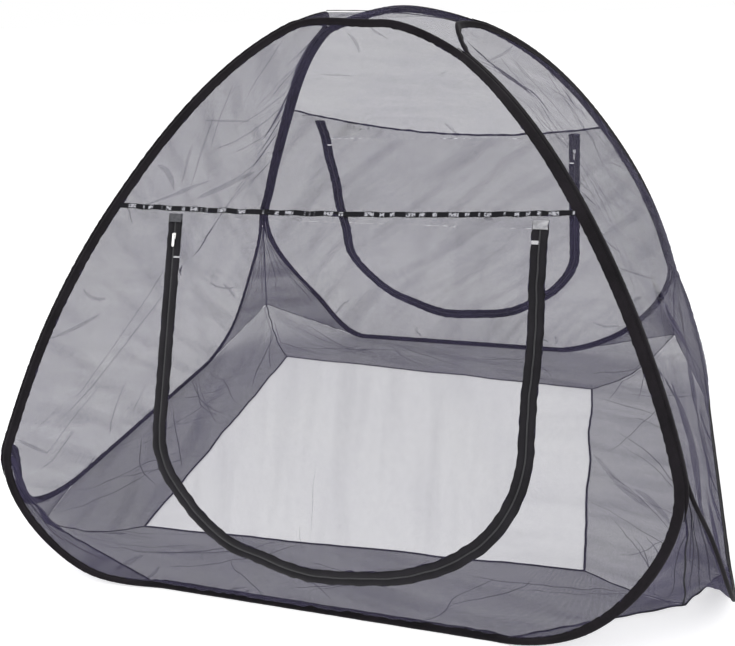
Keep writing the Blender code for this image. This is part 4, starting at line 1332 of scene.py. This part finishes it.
def opening_side(a, b, count, seed):
    """One edge of the floor's opening, a little uneven."""
    a, b = np.array((*OPENING[a], FLOOR_Z)), np.array((*OPENING[b], FLOOR_Z))
    u = np.linspace(0, 1, count)[:, None]
    side = unit(np.cross(b - a, (0, 0, 1)))
    run = u[:, 0] * np.linalg.norm(b - a)
    sway = 0.0042 * wobble(run, 0.40, seed) + 0.0012 * wobble(run, 0.10, seed + 1)
    return a + (b - a) * u + side * (sway * np.sin(math.pi * u[:, 0]) ** 0.5)[:, None]


def raised(share, corner_z):
    """How high the floor's net lies, going out: it rises only on the way to a corner."""
    rise = np.maximum(share * 4 - 1, 0) / 3
    return FLOOR_NET_Z + np.maximum(corner_z - FLOOR_NET_Z, 0) * rise**2


def make_skirt(name, ends, hoop, contacts, door, seed):
    """The floor's net along one wall, from the opening out to the hoop's foot and two corners."""
    columns = 91
    inner = opening_side(*ends, columns, seed)
    first, second = (contacts[end] for end in ends)
    touch = [c[0] if door else c[2] for c in (first, second)]
    corners = [c[1] for c in (first, second)]
    foot = hoop.rim[hoop.half]
    toward = unit(np.array((0.0 if door else foot[0], foot[1], 0.0)))
    reach = float(foot @ toward) - 0.004
    touch = [t + toward * (reach - float(t @ toward)) for t in touch]
    for t in touch:
        t[2] = FLOOR_NET_Z
    outer = even(np.vstack([corners[0], *touch, corners[1]]), columns)
    rows = 17
    grid = np.zeros((rows, columns, 3))
    for i, share in enumerate(np.linspace(0, 1, rows)):
        grid[i] = inner + (outer - inner) * share
        grid[i, :, 2] = raised(share, outer[:, 2])
    grid = loose(grid, False, 0.012, seed, [0, -1], 0.014, 0.0018)
    grid[..., 2] = np.maximum(grid[..., 2], 0.0014)
    grid = finer(grid, 3, 3, False)
    rows, columns = grid.shape[:2]
    rng = np.random.default_rng(seed)
    lines, folds = [], []
    t = np.linspace(0, 1, 22)
    for _ in range(15):
        at = rng.uniform(0.04, 0.92)
        run = rng.uniform(0.10, 0.34) * rng.choice((-1, 1))
        low = rng.uniform(0.02, 0.45)
        high = rng.uniform(0.55, 0.98)
        sway = 0.012 * np.sin(t * rng.uniform(3, 8) + rng.uniform(0, 6))
        i = (low + (high - low) * t) * (rows - 1)
        j = np.clip(at + run * t + sway, 0.01, 0.99) * (columns - 1)
        folds.append((i, j, rng.uniform(0.0022, 0.0042)))
        ends = sample(grid, i[[0, -1]], j[[0, -1]], False)
        lines.append((*ends, rng.uniform(0.006, 0.012), rng.uniform(0.002, 0.006)))
    grid = creases(grid, False, lines, np.tile((0.0, 0.0, 1.0), (rows, columns, 1)))
    net = THIN_FLOOR_NET if name == "right" else FLOOR_NET
    names = f"{name}_floor_skirt_net", f"{name}_floor_net"
    net_object(*names, grid, False, folds, net, SHADED_FOLD, held="laid")
    return inner + (0, 0, 0.0012)


def make_floor(door_hoops, side_hoops, contacts):
    """The four skirts, the hem round their opening and the seams at their corners."""
    edges = []
    for name, ends, seed in (
        ("front", ("front_left", "front_right"), 101),
        ("right", ("front_right", "back_right"), 113),
        ("back", ("back_right", "back_left"), 127),
        ("left", ("back_left", "front_left"), 139),
    ):
        door = name in door_hoops
        hoop = door_hoops[name] if door else side_hoops[name]
        edges.append(make_skirt(name, ends, hoop, contacts, door, seed))
    around = even(np.vstack([edge[:-1] for edge in edges]), 520, True)
    ahead = unit(np.roll(around, -2, 0) - np.roll(around, 2, 0))
    side = unit(np.cross((0, 0, 1.0), ahead))
    up = np.tile((0.0, 0.0, 1.0), (len(around), 1))
    outline = [(-0.0038, 0.0), (0.0038, 0.0), (0.0034, 0.0012), (-0.0034, 0.0012)]
    hem = tube("floor_opening_hem", around, side, up, outline, SEAM, True)
    placed(hem, ["floor_opening_binding"])
    for corner, contact in contacts.items():
        a, b = np.array((*OPENING[corner], 0.0)), contact[1]
        u = np.linspace(0, 1, 50)
        path = a + (b - a) * u[:, None]
        path[:, 2] = raised(u, b[2]) + 0.0012
        kind = SEAM, "sleeve_cloth", (), len(corner), 0.0025
        ribbon_on(f"{corner}_floor_seam", path, (0, 0, 1), 0.0050, 0.0010, *kind)


# --- everything in place ---


def build():
    """Every cloth piece, and the metal of the CAD's own pieces."""
    door_hoops, side_hoops = {}, {}
    for name in ("front", "back"):
        halves = (door_half(name, f"{name}_{side}") for side in ("right", "left"))
        door_hoops[name] = Hoop(*halves)
    for name in ("left", "right"):
        halves = (side_half(name, f"{end}_{name}") for end in ("front", "back"))
        side_hoops[name] = Hoop(*halves)
    for name, hoop in {**door_hoops, **side_hoops}.items():
        make_sleeve(name, hoop)
    for corner in CORNERS:
        end_name, side_name = corner.split("_")
        make_rib_binding(corner, door_hoops[end_name], side_name == "left")
    for name, hoop in side_hoops.items():
        make_side_net(name, hoop)
    for name, hoop in door_hoops.items():
        make_door_end(name, hoop)
    make_roof(door_hoops, side_hoops)
    contacts = {}
    for corner in CORNERS:
        end_name, side_name = corner.split("_")
        hoops = door_hoops[end_name], side_hoops[side_name]
        make_gusset(corner, *hoops)
        on_door, _, floor, on_side = gusset_lines(corner, *hoops)
        contacts[corner] = (on_door[-1], floor, on_side[-1])
    make_floor(door_hoops, side_hoops, contacts)

    for name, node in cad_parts.items():
        if node.hide_render:
            continue
        metal = METAL if ("slider" in name or "pull" in name) else WIRE
        if not node.material_slots:
            node.data.materials.append(metal)
        for slot in node.material_slots:
            slot.material = metal
        if metal is METAL:
            bevel = node.modifiers.new("Rounded edges", "BEVEL")
            bevel.width = 0.00025
            bevel.segments = 2
            bevel.limit_method = "ANGLE"


def stage():
    """A pale floor under plain soft light; the floor also glows, most near its middle, a painted
    pool of light.
    """
    size, under = 40.0, -0.0006
    points = [(x * size, y * size, under) for x, y in ((-1, -1), (1, -1), (1, 1), (-1, 1))]
    s = Shade("studio_floor")
    s.set(Base_Color=(0.86, 0.86, 0.87, 1.0), Roughness=0.95, Specular_IOR_Level=0.1)
    place = s.node("ShaderNodeTexCoord").outputs["Object"]
    far = s.node("ShaderNodeVectorMath", {0: place}, operation="LENGTH").outputs["Value"]
    # painted pool of light: the floor glows more near the middle, under the net, washing out the
    # net's shadow
    glow = s.spread(far, 0.9, 3.0, 0.50, 0.30)
    s.set(Emission_Color=(1.0, 1.0, 1.0, 1.0), Emission_Strength=glow)
    floor = new_object("studio_floor", points, [(0, 1, 2, 3)], [s.material], smooth=False)
    world = bpy.data.worlds.new("studio")
    world.use_nodes = True
    sky = world.node_tree.nodes["Background"].inputs
    sky["Color"].default_value = (1.0, 1.0, 1.0, 1.0)
    sky["Strength"].default_value = 1.0
    scene.world = world
    for name, place, size, power in (
        ("key", (-2.6, -3.4, 4.2), 3.0, 90.0),
        ("fill", (3.6, -2.0, 3.0), 3.0, 30.0),
    ):
        light = bpy.data.lights.new(name, "AREA")
        light.size = size
        light.energy = power
        lamp = bpy.data.objects.new(name, light)
        lamp.location = place
        aim = Vector((0, 0, 0.6)) - Vector(place)
        lamp.rotation_euler = aim.to_track_quat("-Z", "Y").to_euler()
        scene.collection.objects.link(lamp)
    scene.view_settings.view_transform = "Standard"


def camera():
    """The camera at the photograph's height and angle."""
    turn, rise, roll = math.radians(16.12), math.radians(20.99), math.radians(-2.41)
    level = math.cos(rise)
    back = Vector((math.sin(turn) * level, -math.cos(turn) * level, math.sin(rise)))
    right = Vector((math.cos(turn), math.sin(turn), 0))
    up = back.cross(right)
    right = right * math.cos(roll) + up * math.sin(roll)
    up = back.cross(right)
    data = bpy.data.cameras.new("camera")
    data.sensor_width = 36.0
    data.lens = 41.9
    data.shift_x = -0.0475
    data.shift_y = -0.0185
    data.clip_end = 200
    cam = bpy.data.objects.new("camera", data)
    cam.matrix_world = Matrix((right, up, back)).transposed().to_4x4()
    cam.location = Vector((0, 0, 0.562)) + back * 3.14
    scene.collection.objects.link(cam)
    scene.camera = cam


build()
stage()
camera()
